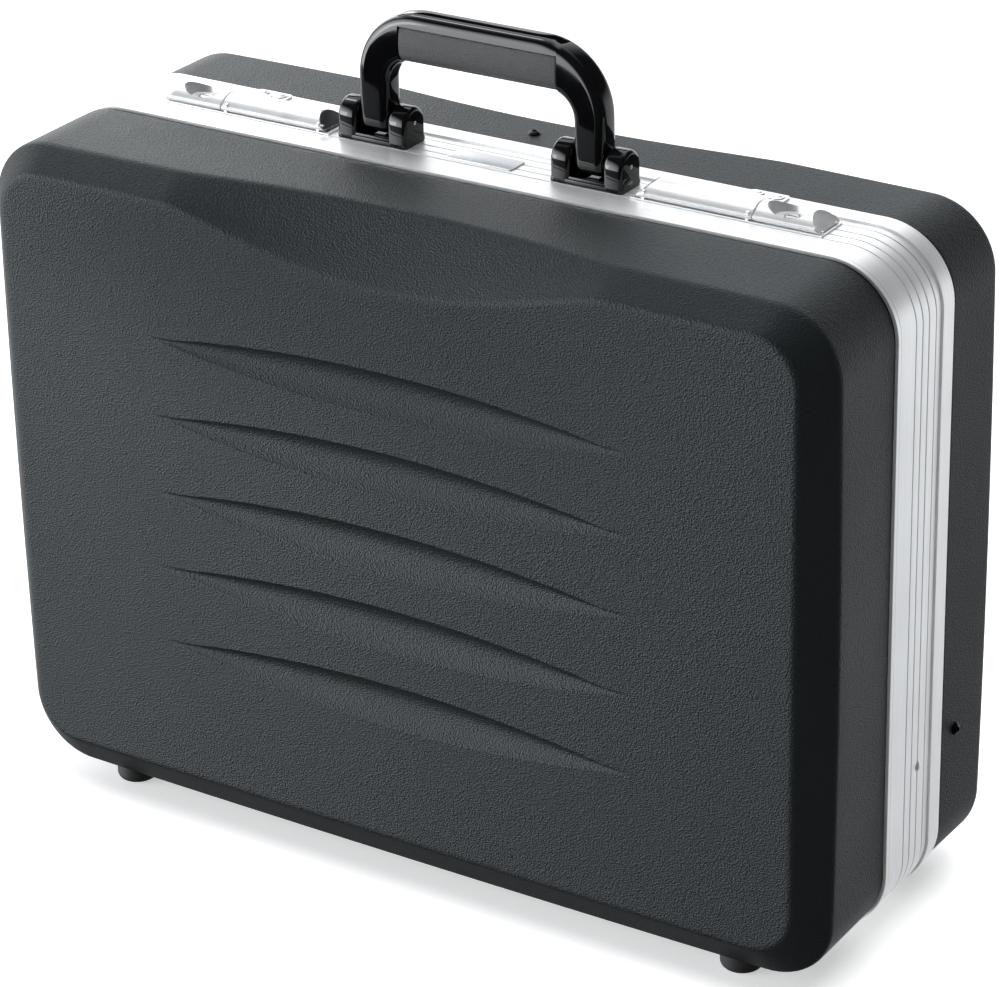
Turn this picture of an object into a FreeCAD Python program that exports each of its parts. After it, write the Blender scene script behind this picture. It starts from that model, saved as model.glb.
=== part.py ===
"""Attache case: two moulded shells in aluminium frames, hinged along the bottom.

Axes: +X to the right, +Z up, -Y towards the near side, which carries the handle and the locks.
The origin is on the ground, under the centre of the case. All lengths are in millimetres.
"""
import FreeCAD, Part
import math
import os

V = FreeCAD.Vector
X_AXIS = V(1, 0, 0)
Y_AXIS = V(0, 1, 0)
Z_AXIS = V(0, 0, 1)

# ---- driving dimensions: the case ----
FRAME_WIDTH = 480.0
FRAME_HEIGHT = 353.0
FRAME_RADIUS = 36.0
TOTAL_DEPTH = 186.0
GROUND_GAP = 8.0

NEAR_SHELL_DEPTH = 70.5
NEAR_FRAME_DEPTH = 39.0
PARTING_GAP = 0.5
FAR_FRAME_DEPTH = 17.0
RIM_TO_FACE = 15.4

SEAM_NEAR = -TOTAL_DEPTH / 2 + NEAR_SHELL_DEPTH
PARTING_NEAR = SEAM_NEAR + NEAR_FRAME_DEPTH
PARTING_FAR = PARTING_NEAR + PARTING_GAP
SEAM_FAR = PARTING_FAR + FAR_FRAME_DEPTH
FAR_SHELL_DEPTH = TOTAL_DEPTH / 2 - SEAM_FAR

FRAME_CENTRE_Z = GROUND_GAP + FRAME_HEIGHT / 2
TOP = GROUND_GAP + FRAME_HEIGHT
SIDE = FRAME_WIDTH / 2

# ---- frame section, as offsets outwards from the frame's outer surface ----
SKIN_IN = -1.5
CHANNEL_IN = -5.1
FRAME_IN = -6.5
TONGUE_OUT = -6.9
TONGUE_IN = -8.1

# ---- moulded shells ----
WALL = 3.0
SHELL_STEP = 1.6
SHELL_INSERT = 9.6
FLANGE_OUT = -1.8
SHELL_OUT = -0.7
RIM_HALF_W = 240.4
RIM_HALF_H = 174.8
RIM_RADIUS = 35.0
RIM_BOW = 1.2
FACE_HALF_W = 226.2
FACE_HALF_H = 159.6
FACE_RADIUS = 24.0
FACE_LIFT = 4.3
MITRE = WALL * math.tan(math.radians(22.5))

WAVE_HALF_LENGTH = 128.0
WAVE_DROP = 20.6
WAVE_SETBACK = 9.0

GROOVE_COUNT = 5
GROOVE_HALF_LENGTH = 134.0
GROOVE_HALF_WIDTH = 11.8
GROOVE_DEPTH = 4.5
GROOVE_PITCH = 42.2
GROOVE_TOP_Z = FRAME_CENTRE_Z + 90.0

# ---- handle ----
HANDLE_Y = SEAM_NEAR + 28.5
HANDLE_PIVOT_Z = TOP + 11.5
HANDLE_HALF_W = 70.5
HANDLE_TOP_Z = TOP + 69.5
HANDLE_BAR = 25.0
HANDLE_LEG = 17.4
HANDLE_DEPTH = 15.0
HANDLE_OUTER_R = 36.0
HANDLE_INNER_R = 13.0
GRIP_HALF_LENGTH = 45.0
GRIP_HEIGHT = 18.0
HANDLE_PIN_R = 1.8
BRACKET_X = 61.8
BRACKET_WIDTH = 40.5
BRACKET_DEPTH = 18.0
CHEEK_THICK = 10.9
BRACKET_BASE = 2.7

# ---- locks ----
LOCK_Y0 = SEAM_NEAR + 18.2
LOCK_Y1 = SEAM_NEAR + 38.8
LOCK_INNER_X = 87.0
LOCK_SEAM_X = 153.0
EARS = (93.0, 149.4)
EAR_T = 1.6
LOCK_OUTER_X = 191.0
LOCK_HEIGHT = 8.3
LOCK_PLATE = 0.8
SLIDER_TRAVEL = 7.0
HASP_AXIS_Y = LOCK_Y0 + 2.2
HASP_AXIS_Z = TOP + 3.3
HASP_PIN_R = 1.0
POCKET_X = 169.0
POCKET_Y = SEAM_NEAR + 28.5
POCKET_RIM = (12.4, 9.2)
POCKET_FLOOR = (9.0, 6.6)
POCKET_FLOOR_Z = TOP + 2.5
PLUG_R = 4.0
STRIKER_X = 143.8

# ---- hinges, stays and feet ----
HINGE_Y = (PARTING_NEAR + PARTING_FAR) / 2
HINGE_Z = 5.5
KNUCKLE_R = 2.5
HINGE_PIN_R = 1.2
HINGE_X = 140.0
HINGE_LENGTH = 38.0
STAY_RADIUS = 57.0
STAY_OFFSET = 12.0
STAY_Z = HINGE_Z + math.sqrt(STAY_RADIUS ** 2 - STAY_OFFSET ** 2)
LID_OPEN_DEG = 95.0
STUD_R = 2.1
STAY_WALL_X = SIDE + FRAME_IN
STAY_PLATE_T = 1.6
STUD_Y = HINGE_Y - STAY_OFFSET
PIVOT_Y = HINGE_Y + STAY_OFFSET
ARM_OUT_X = STAY_WALL_X - STAY_PLATE_T - 1.3
ARM_T = 2.0
STUD_END_X = ARM_OUT_X - ARM_T - 1.6
FOOT_X = 185.0
FOOT_R = 11.0
FRONT_FOOT_Y = SEAM_NEAR - 43.0
REAR_FOOT_Y = SEAM_FAR + 32.0

FIT = 0.05
CLEAR = 0.3


# ---- small helpers ----

def box(x0, x1, y0, y1, z0, z1):
    """Box between two opposite corners."""
    return Part.makeBox(x1 - x0, y1 - y0, z1 - z0, V(x0, y0, z0))


def rod(radius, start, axis, length):
    """Cylinder from a start point along an axis."""
    return Part.makeCylinder(radius, length, start, axis)


def fuse(shapes):
    """One solid made of touching shapes."""
    joined = shapes[0].multiFuse(shapes[1:]) if len(shapes) > 1 else shapes[0]
    return joined.removeSplitter()


def group(shapes):
    """Separate solids that share one node."""
    return Part.makeCompound(shapes)


def mirrored(shape):
    """The same part on the other side of the case."""
    return shape.mirror(V(0, 0, 0), X_AXIS)


def prism(points, plane, start, length):
    """Extruded polygon. In plane 'yz' it runs along X, and in plane 'xz' along Y."""
    if plane == "yz":
        corners = [V(start, a, b) for a, b in points]
        along = V(length, 0, 0)
    else:
        corners = [V(a, start, b) for a, b in points]
        along = V(0, length, 0)
    return Part.Face(Part.makePolygon(corners + corners[:1])).extrude(along)


def line(p, q):
    return Part.LineSegment(p, q).toShape()


def arc(p, middle, q):
    return Part.Arc(p, middle, q).toShape()


def rounded_wire(y, half_w, half_h, radius, bow=0.0, centre_z=FRAME_CENTRE_Z):
    """Rounded rectangle in the plane y, with sides that bow outwards in the middle."""
    edges = []
    half = [half_w, half_h]
    turn = radius * (1 - math.sqrt(0.5))
    for k in range(4):
        across = V(math.cos(k * math.pi / 2), 0, math.sin(k * math.pi / 2))
        along = V(-across.z, 0, across.x)
        reach = half[k % 2]
        run = half[(k + 1) % 2] - radius
        centre = V(0, y, centre_z)
        first = centre + across * reach - along * run
        last = centre + across * reach + along * run
        if bow > 0:
            edges.append(arc(first, centre + across * (reach + bow), last))
        else:
            edges.append(line(first, last))
        corner = centre + across * (reach - turn) + along * (run + radius - turn)
        after = centre + across * (reach - radius) + along * (run + radius)
        edges.append(arc(last, corner, after))
    return Part.Wire(edges)


def frame_wire(y, offset):
    """Outline of the frame at an offset outwards from its outer surface."""
    half_w = FRAME_WIDTH / 2 + offset
    half_h = FRAME_HEIGHT / 2 + offset
    return rounded_wire(y, half_w, half_h, FRAME_RADIUS + offset)


def ring(y0, y1, inner, outer):
    """Closed band that follows the frame's outline."""
    out = Part.Face(frame_wire(y0, outer)).extrude(V(0, y1 - y0, 0))
    hole = Part.Face(frame_wire(y0 - 1, inner)).extrude(V(0, y1 - y0 + 2, 0))
    return out.cut(hole)


def solids_cut(shape, tools):
    """Cut a list of shapes out of a shape."""
    return shape.cut(Part.makeCompound(tools)) if tools else shape


# ---- fasteners ----

def button_screw(head, inward, shank, radius=3.4, stem=1.5, height=1.9):
    """Domed screw: the head's dome stands out from the point, and the shank runs inwards."""
    outward = inward * -1
    dome_r = (radius ** 2 + height ** 2) / (2 * height)
    ball = Part.makeSphere(dome_r, head + outward * (height - dome_r))
    cap = ball.common(rod(radius, head, outward, height + 1))
    socket = rod(radius * 0.38, head + outward * (height * 0.45), outward, height)
    stem_rod = rod(stem, head, inward, shank)
    return cap.cut(socket).fuse(stem_rod).removeSplitter()


def rivet(head, inward, shank, radius=2.6, stem=1.3, height=1.1):
    """Domed rivet, with a flat closing head at the inner end."""
    outward = inward * -1
    dome_r = (radius ** 2 + height ** 2) / (2 * height)
    ball = Part.makeSphere(dome_r, head + outward * (height - dome_r))
    cap = ball.common(rod(radius, head, outward, height + 1))
    stem_rod = rod(stem, head, inward, shank)
    tail = rod(stem + 0.9, head + inward * shank, inward, 0.9)
    return fuse([cap, stem_rod, tail])


def shank_hole(head, inward, shank, stem):
    """Clear hole for a fastener's shank."""
    return rod(stem, head - inward * 1.0, inward, shank + 1.0)


# ---- fastener positions ----

STRIKER_RIVETS = [V(s * (STRIKER_X + d), PARTING_FAR + 11.0, TOP + 1.6) for s in (-1, 1) for d in (-5.4, 5.4)]
STRIKER_SHANK = 8.3
LOCK_RIVETS = [V(s * x, LOCK_Y1 - 6.5, TOP + LOCK_PLATE) for s in (-1, 1) for x in (97.0, 128.0)]
LOCK_SHANK = 7.5
STAY_RIVET_Y = SEAM_NEAR + 32.0
STAY_RIVET_Z = GROUND_GAP + 82.0
STAY_RIVETS = [V(s * SIDE, STAY_RIVET_Y, STAY_RIVET_Z) for s in (-1, 1)]
STAY_RIVET_SHANK = 8.3
SHELL_SCREW_Y = SEAM_FAR + 15.5
SHELL_SCREW_Z = GROUND_GAP + 84.0
BRACKET_SCREW_X = (BRACKET_X - 5.5, BRACKET_X + 5.5)
HINGE_RIVET_DX = (-13.0, 13.0)
SPLICE_RIVET_X = (-17.0, -8.0, 8.0, 17.0)


def inward_of(x):
    """Direction from a side wall to the inside of the case."""
    return V(-1, 0, 0) if x > 0 else V(1, 0, 0)


# ---- frames ----

def front_frame():
    """Near extrusion: lip, smooth band, three ribs, shell channel and inner skin."""
    s = SEAM_NEAR
    bands = [
        (0.0, 3.0, 0.35), (3.0, 3.6, -0.5), (3.6, 18.0, 0.0), (18.0, 18.8, -0.7),
        (18.8, 24.5, 0.0), (24.5, 25.3, -0.7), (25.3, 31.0, 0.0), (31.0, 31.8, -0.7),
        (31.8, 38.2, 0.0), (38.2, NEAR_FRAME_DEPTH, -0.6),
    ]
    rings = [ring(s + a, s + b, SKIN_IN, out) for a, b, out in bands]
    rings.append(ring(s + 10.0, s + 11.4, CHANNEL_IN, SKIN_IN))
    rings.append(ring(s + 35.0, s + 36.4, CHANNEL_IN, SKIN_IN))
    rings.append(ring(s + 2.0, s + NEAR_FRAME_DEPTH, FRAME_IN, CHANNEL_IN))
    frame = fuse(rings)
    low = GROUND_GAP
    joint = box(-0.1, 0.1, s - 1, s + NEAR_FRAME_DEPTH + 1, low - 1, low + 8)
    return solids_cut(frame, [joint] + near_frame_holes())


def rear_frame():
    """Far extrusion: first band, raised main band, edge bead and a tongue that closes the parting."""
    p = PARTING_FAR
    bands = [
        (0.0, 4.5, -0.4), (4.5, 5.1, -0.9), (5.1, 14.6, 0.6), (14.6, FAR_FRAME_DEPTH, 0.25),
    ]
    rings = [ring(p + a, p + b, SKIN_IN, out) for a, b, out in bands]
    rings.append(ring(p + 1.0, p + 2.4, CHANNEL_IN, SKIN_IN))
    rings.append(ring(p + 5.6, p + 7.0, CHANNEL_IN, SKIN_IN))
    rings.append(ring(p, p + 15.0, FRAME_IN, CHANNEL_IN))
    rings.append(ring(p + 1.0, p + 6.0, TONGUE_IN, FRAME_IN))
    rings.append(ring(p - 3.5, p + 1.0, TONGUE_IN, TONGUE_OUT))
    frame = fuse(rings)
    low = GROUND_GAP
    joint = box(-0.1, 0.1, p - 5, p + FAR_FRAME_DEPTH + 1, low - 1, low + 9)
    return solids_cut(frame, [joint] + far_frame_holes())


def near_frame_holes():
    """Holes for everything that is fastened through the near frame."""
    down = V(0, 0, -1)
    holes = [shank_hole(p, down, LOCK_SHANK, 1.3) for p in LOCK_RIVETS]
    holes += [shank_hole(p, inward_of(p.x), STAY_RIVET_SHANK, 1.3) for p in STAY_RIVETS]
    holes += [shank_hole(p, down, 10.0, 1.6) for p in bracket_screw_heads()]
    holes += [shank_hole(p, V(0, 0, 1), 9.0, 1.3) for p in hinge_rivet_heads(-1)]
    holes += [shank_hole(p, V(0, 0, 1), 8.0, 1.3) for p in splice_rivet_heads(-1)]
    return holes


def far_frame_holes():
    """Holes for everything that is fastened through the far frame."""
    holes = [shank_hole(p, V(0, 0, -1), STRIKER_SHANK, 1.3) for p in STRIKER_RIVETS]
    holes += [shank_hole(p, V(0, 0, 1), 9.0, 1.3) for p in hinge_rivet_heads(1)]
    holes += [shank_hole(p, V(0, 0, 1), 8.0, 1.3) for p in splice_rivet_heads(1)]
    return holes


def frame_seal():
    """Rubber strip in the near frame's groove at the parting."""
    return ring(SEAM_NEAR + 36.5, SEAM_NEAR + 38.7, CHANNEL_IN + 0.2, SKIN_IN - 0.2)


def splice_rivet_heads(side):
    """Heads of the rivets that hold a frame's two ends together, under the case."""
    y = SEAM_NEAR + 21.7 if side < 0 else PARTING_FAR + 11.0
    z = GROUND_GAP if side < 0 else GROUND_GAP - 0.6
    return [V(x, y, z) for x in SPLICE_RIVET_X]


def splice(side):
    """Joining plate inside a frame, across its butt joint."""
    if side < 0:
        y0 = SEAM_NEAR + 14.0
        y1 = SEAM_NEAR + 29.5
    else:
        y0 = PARTING_FAR + 7.0
        y1 = PARTING_FAR + 15.0
    z0 = GROUND_GAP - FRAME_IN
    plate = box(-24.0, 24.0, y0, y1, z0, z0 + 1.3)
    return solids_cut(plate, [shank_hole(p, Z_AXIS, 9.0, 1.3) for p in splice_rivet_heads(side)])


def splice_rivets(side):
    shank = FRAME_IN * -1 + 1.3 + (0.0 if side < 0 else 0.6)
    return group([rivet(p, Z_AXIS, shank) for p in splice_rivet_heads(side)])


# ---- shells ----

def wave(t):
    """Depth of the wave recess along the top rim, from 1 in the middle to 0 at its ends."""
    return (1 - t * t) ** 1.3


def recess_section(x, seam, sign, blend):
    """Triangle that cuts the rim's top corner away at one place along the wave."""
    rim_y = seam + sign * (NEAR_SHELL_DEPTH - RIM_TO_FACE - WAVE_SETBACK * blend)
    rim_z = FRAME_CENTRE_Z + RIM_HALF_H + RIM_BOW
    face_y = seam + sign * NEAR_SHELL_DEPTH
    face_z = FRAME_CENTRE_Z + FACE_LIFT + FACE_HALF_H - WAVE_DROP * blend
    if sign > 0:
        rim_y += FAR_SHELL_DEPTH - NEAR_SHELL_DEPTH
        face_y += FAR_SHELL_DEPTH - NEAR_SHELL_DEPTH
    rim = V(x, rim_y, rim_z)
    face = V(x, face_y, face_z)
    slope = (face - rim) * 0.5
    corners = [rim - slope, V(x, face.y + slope.y, rim.z - slope.z), face + slope]
    return Part.makePolygon(corners + corners[:1])


def wave_cutter(seam, sign):
    """Solid removed from the rim to make the wave recess."""
    stations = 17
    sections = []
    for k in range(stations):
        t = -1 + 2 * k / (stations - 1)
        blend = 1.04 * wave(t) - 0.04
        sections.append(recess_section(t * WAVE_HALF_LENGTH, seam, sign, blend))
    return Part.makeLoft(sections, True, False)


def groove_lens(face_y, z, half_width, depth):
    """Lens with pointed ends whose middle plane is the face."""
    reach = GROOVE_HALF_LENGTH * math.sqrt(half_width / GROOVE_HALF_WIDTH)
    start = V(-reach, 0, 0)
    end = V(reach, 0, 0)
    profile = Part.Wire([arc(start, V(0, 0, half_width), end), line(end, start)])
    spindle = Part.Face(profile).revolve(V(0, 0, 0), X_AXIS, 360)
    flatten = FreeCAD.Matrix()
    flatten.A22 = depth / half_width
    lens = Part.Solid(spindle.Shells[0]).transformGeometry(flatten)
    lens.translate(V(0, face_y, z))
    return lens


def shell_body(seam, sign, depth, inset):
    """Solid outline of a shell beyond the frame; inset 0 is the outside and WALL is the cavity."""
    rim = depth - RIM_TO_FACE
    step = SHELL_STEP if inset == 0 else -SHELL_INSERT - 1
    seam_offset = SHELL_OUT if inset == 0 else FLANGE_OUT - WALL
    wires = [frame_wire(seam + sign * step, seam_offset)]
    if inset > 0:
        wires.append(frame_wire(seam + sign * SHELL_STEP, seam_offset))
    mitre = MITRE if inset > 0 else 0.0
    wires.append(rounded_wire(seam + sign * (rim - mitre), RIM_HALF_W - inset, RIM_HALF_H - inset,
                              RIM_RADIUS - inset, RIM_BOW))
    wires.append(rounded_wire(seam + sign * (depth - inset), FACE_HALF_W - mitre, FACE_HALF_H - mitre,
                              FACE_RADIUS - mitre, 0.0, FRAME_CENTRE_Z + FACE_LIFT))
    return Part.makeLoft(wires, True, True)


def shell(seam, sign, depth):
    """Moulded shell: flange for the frame's channel, walls, chamfered rim, recess and grooves."""
    face_y = seam + sign * depth
    flange_y = sorted([seam + sign * SHELL_STEP, seam - sign * SHELL_INSERT])
    flange = Part.Face(frame_wire(flange_y[0], FLANGE_OUT)).extrude(V(0, flange_y[1] - flange_y[0], 0))
    outer = shell_body(seam, sign, depth, 0.0).fuse(flange)
    heights = [GROOVE_TOP_Z - k * GROOVE_PITCH for k in range(GROOVE_COUNT)]
    grooves = [groove_lens(face_y, z, GROOVE_HALF_WIDTH, GROOVE_DEPTH) for z in heights]
    ridges = [groove_lens(face_y, z, GROOVE_HALF_WIDTH + 2.6, GROOVE_DEPTH + WALL) for z in heights]
    recess = wave_cutter(seam, sign)
    inner_recess = recess.copy()
    inner_recess.translate(V(0, -sign * WALL * 0.75, -WALL * 0.75))
    cavity = shell_body(seam, sign, depth, WALL)
    cavity = solids_cut(cavity, ridges + [inner_recess])
    return solids_cut(outer, [cavity, recess] + grooves)


def front_shell():
    body = shell(SEAM_NEAR, -1, NEAR_SHELL_DEPTH)
    holes = [shank_hole(p, Z_AXIS, 14.0, 1.5) for p in foot_screw_points(FRONT_FOOT_Y)]
    return solids_cut(body, holes)


def rear_shell():
    body = shell(SEAM_FAR, 1, FAR_SHELL_DEPTH)
    holes = [shank_hole(p, Z_AXIS, 14.0, 1.5) for p in foot_screw_points(REAR_FOOT_Y)]
    holes += [shank_hole(p, inward, 12.0, 1.5) for p, inward, _ in shell_screw_heads()]
    holes += [shank_hole(p, V(0, 0, -1), STRIKER_SHANK, 1.3) for p in STRIKER_RIVETS]
    holes += [shank_hole(p, Z_AXIS, 9.0, 1.3) for p in hinge_rivet_heads(1)]
    holes += [shank_hole(p, Z_AXIS, 9.0, 1.3) for p in splice_rivet_heads(1)]
    return solids_cut(body, holes)


def shell_wall_offset(depth_from_seam, total, side):
    """How far the shell's outer surface stands outside the frame's outline, before the rim."""
    rim = total - RIM_TO_FACE
    at_rim = RIM_HALF_W - SIDE if side else RIM_HALF_H - FRAME_HEIGHT / 2
    share = (depth_from_seam - SHELL_STEP) / (rim - SHELL_STEP)
    return SHELL_OUT + share * (at_rim - SHELL_OUT)


def shell_screw_heads():
    """Places, inward directions and clamped lengths of the button-head screws on the far shell."""
    rise = shell_wall_offset(SHELL_SCREW_Y - SEAM_FAR, FAR_SHELL_DEPTH, False)
    out = shell_wall_offset(SHELL_SCREW_Y - SEAM_FAR, FAR_SHELL_DEPTH, True)
    heads = [(V(0, SHELL_SCREW_Y, TOP + rise + 0.5), V(0, 0, -1), WALL + 1.2)]
    head_x = SIDE + out + 0.5
    clamped = head_x - STAY_WALL_X + STAY_PLATE_T
    for s in (-1, 1):
        heads.append((V(s * head_x, SHELL_SCREW_Y, SHELL_SCREW_Z), V(-s, 0, 0), clamped))
    return heads


def shell_screws():
    """Black button-head screws, one on top and one on each side, with nuts and spacer bushes inside."""
    screws = []
    for head, inward, clamped in shell_screw_heads():
        parts = [button_screw(head, inward, clamped), rod(3.2, head + inward * clamped, inward, 2.4)]
        if abs(head.x) > 0:
            parts.append(rod(3.2, head + inward * (clamped - STAY_PLATE_T - 2.0), inward, 2.0))
        screws.append(fuse(parts))
    return group(screws)


# ---- handle ----

def handle_outline():
    """Face of the bow seen from the front: two legs, a top bar and round lower ends."""
    w = HANDLE_HALF_W
    top = HANDLE_TOP_Z
    base = HANDLE_PIVOT_Z
    ro = HANDLE_OUTER_R
    ri = HANDLE_INNER_R
    inner_w = w - HANDLE_LEG
    inner_top = top - HANDLE_BAR
    k = 1 - math.sqrt(0.5)
    y = HANDLE_Y - HANDLE_DEPTH / 2

    def p(x, z):
        return V(x, y, z)

    edges = [
        line(p(-w, base), p(-w, top - ro)),
        arc(p(-w, top - ro), p(-w + ro * k, top - ro * k), p(-w + ro, top)),
        line(p(-w + ro, top), p(w - ro, top)),
        arc(p(w - ro, top), p(w - ro * k, top - ro * k), p(w, top - ro)),
        line(p(w, top - ro), p(w, base)),
        line(p(w, base), p(inner_w, base)),
        line(p(inner_w, base), p(inner_w, inner_top - ri)),
        arc(p(inner_w, inner_top - ri), p(inner_w - ri * k, inner_top - ri * k), p(inner_w - ri, inner_top)),
        line(p(inner_w - ri, inner_top), p(ri - inner_w, inner_top)),
        arc(p(ri - inner_w, inner_top), p(ri * k - inner_w, inner_top - ri * k), p(-inner_w, inner_top - ri)),
        line(p(-inner_w, inner_top - ri), p(-inner_w, base)),
        line(p(-inner_w, base), p(-w, base)),
    ]
    return Part.Face(Part.Wire(edges))


def grip_envelope():
    """Space that the grip insert takes around the lower part of the bar."""
    low = HANDLE_TOP_Z - HANDLE_BAR
    half = HANDLE_DEPTH / 2 + 0.3
    block = box(-GRIP_HALF_LENGTH, GRIP_HALF_LENGTH, HANDLE_Y - half, HANDLE_Y + half,
                low - 0.4, low + GRIP_HEIGHT)
    lower = [e for e in block.Edges if abs(e.BoundBox.ZMax - (low - 0.4)) < 0.01 and e.BoundBox.XLength > 1]
    return block.makeFillet(5.0, lower)


def grip_core():
    """Part of the bar that runs through the grip."""
    low = HANDLE_TOP_Z - HANDLE_BAR
    return box(-GRIP_HALF_LENGTH - 1, GRIP_HALF_LENGTH + 1, HANDLE_Y - 4.6, HANDLE_Y + 4.6,
               low + 3.6, low + GRIP_HEIGHT + 1)


def handle_bow():
    """Gloss bow with rounded edges, pivot eyes and a seat for the grip."""
    body = handle_outline().extrude(V(0, HANDLE_DEPTH, 0))
    long_edges = [e for e in body.Edges if e.BoundBox.YLength < 0.01 and e.BoundBox.ZMax > HANDLE_PIVOT_Z + 1]
    body = body.makeFillet(3.5, long_edges)
    middle = HANDLE_HALF_W - HANDLE_LEG / 2
    eyes = []
    for s in (-1, 1):
        start = V(s * middle - HANDLE_LEG / 2, HANDLE_Y, HANDLE_PIVOT_Z)
        eyes.append(rod(HANDLE_DEPTH / 2, start, X_AXIS, HANDLE_LEG))
    body = body.multiFuse(eyes)
    bore = rod(HANDLE_PIN_R + FIT, V(-100, HANDLE_Y, HANDLE_PIVOT_Z), X_AXIS, 200)
    seat = grip_envelope().cut(grip_core())
    return solids_cut(body, [bore, seat]).removeSplitter()


def handle_grip():
    """Textured insert that wraps the front, the bottom and the back of the bar."""
    return grip_envelope().cut(grip_core())


def bracket_screw_heads():
    """Countersunk screws of the handle brackets, on the base between the cheeks."""
    return [V(s * x, HANDLE_Y, TOP + BRACKET_BASE) for s in (-1, 1) for x in BRACKET_SCREW_X]


def bracket_right():
    """Clevis: base plate and two domed cheeks, with the pin's bore through both."""
    x0 = BRACKET_X - BRACKET_WIDTH / 2
    x1 = BRACKET_X + BRACKET_WIDTH / 2
    y0 = HANDLE_Y - BRACKET_DEPTH / 2
    y1 = HANDLE_Y + BRACKET_DEPTH / 2
    base = box(x0, x1, y0, y1, TOP, TOP + BRACKET_BASE)
    parts = [base]
    for x in (x0, x1 - CHEEK_THICK):
        dome_z = HANDLE_PIVOT_Z - 0.8
        block = box(x, x + CHEEK_THICK, y0, y1, TOP, dome_z)
        dome = rod(BRACKET_DEPTH / 2, V(x, HANDLE_Y, dome_z), X_AXIS, CHEEK_THICK)
        cheek = block.fuse(dome).removeSplitter()
        rim = [e for e in cheek.Edges if e.BoundBox.XLength < 0.01 and e.BoundBox.ZMax > TOP + 0.5]
        parts.append(cheek.makeFillet(1.8, rim))
    clevis = fuse(parts)
    bore = rod(HANDLE_PIN_R, V(x0 - 1, HANDLE_Y, HANDLE_PIVOT_Z), X_AXIS, BRACKET_WIDTH + 2)
    screws = [countersunk(p) for p in bracket_screw_heads() if p.x > 0]
    return solids_cut(clevis, [bore] + screws)


def countersunk(head):
    """Countersunk screw that points down from its flat head."""
    cone = Part.makeCone(3.0, 1.6, 1.6, head, V(0, 0, -1))
    return cone.fuse(rod(1.6, head, V(0, 0, -1), BRACKET_BASE + 9.0)).removeSplitter()


def handle_pin_right():
    """Steel pin, a little short of the cheeks' outer faces."""
    length = BRACKET_WIDTH - 0.8
    return rod(HANDLE_PIN_R, V(BRACKET_X - length / 2, HANDLE_Y, HANDLE_PIVOT_Z), X_AXIS, length)


def handle_backing_plate():
    """Steel strip under the frame's top that the bracket screws run into."""
    z1 = TOP + FRAME_IN
    strip = box(-86.0, 86.0, SEAM_NEAR + 19.0, SEAM_NEAR + 33.6, z1 - 1.6, z1)
    return solids_cut(strip, [countersunk(p) for p in bracket_screw_heads()])


def badge_plate():
    """Blank plate between the brackets."""
    y = SEAM_NEAR + 27.7
    plate = box(-18.8, 18.8, y - 6.5, y + 6.5, TOP, TOP + 0.6)
    upright = [e for e in plate.Edges if e.BoundBox.ZLength > 0.5]
    return plate.makeFillet(1.2, upright)


# ---- locks (the right one; the left one is its mirror image) ----

def lock_section(x, bottom):
    """Half-round section of the latch bar and slider, with a low step along the near edge."""
    z0 = TOP + bottom
    near = V(x, LOCK_Y0, HASP_AXIS_Z)
    toe = V(x, HASP_AXIS_Y, z0)
    bend = V(x, HASP_AXIS_Y - 2.2 * math.sqrt(0.5), HASP_AXIS_Z - 2.2 * math.sqrt(0.5))
    ledge = V(x, LOCK_Y0 + 0.7, TOP + 3.6)
    crown = V(x, (LOCK_Y0 + LOCK_Y1) / 2 + 0.3, TOP + LOCK_HEIGHT)
    back = V(x, LOCK_Y1, TOP + 3.2)
    heel = V(x, LOCK_Y1, z0)
    edges = [
        line(heel, toe),
        arc(toe, bend, near),
        line(near, ledge),
        arc(ledge, crown, back),
        line(back, heel),
    ]
    return Part.Face(Part.Wire(edges))


def end_slope(x, outward):
    """Wedge that cuts an end of the lock back at 45 degrees."""
    y0 = LOCK_Y0 - 3
    corners = [(x, TOP), (x + outward * 12, TOP), (x + outward * 12, TOP + 14), (x - outward * 14, TOP + 14)]
    return prism(corners, "xz", y0, LOCK_Y1 - LOCK_Y0 + 6)


def lock_plate():
    """Thin base plate with two hinge ears for the bar and two rails for the slider."""
    plate = box(LOCK_INNER_X, LOCK_OUTER_X - 1.0, LOCK_Y0 + 0.4, LOCK_Y1 - 0.3, TOP, TOP + LOCK_PLATE)
    parts = [plate]
    for x in EARS:
        block = box(x, x + EAR_T, HASP_AXIS_Y - 1.6, HASP_AXIS_Y + 1.9, TOP, HASP_AXIS_Z)
        eye = rod(1.9, V(x, HASP_AXIS_Y, HASP_AXIS_Z), X_AXIS, EAR_T)
        parts += [block, eye]
    for y in (LOCK_Y0 + 3.6, LOCK_Y1 - 3.6):
        parts.append(box(LOCK_SEAM_X + 6, LOCK_OUTER_X - 2.0, y - 0.6, y + 0.6, TOP, TOP + 2.0))
    pin = rod(HASP_PIN_R, V(80, HASP_AXIS_Y, HASP_AXIS_Z), X_AXIS, 80)
    holes = [shank_hole(p, V(0, 0, -1), LOCK_SHANK, 1.3) for p in LOCK_RIVETS if p.x > 0]
    return solids_cut(fuse(parts), [pin] + holes)


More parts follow.
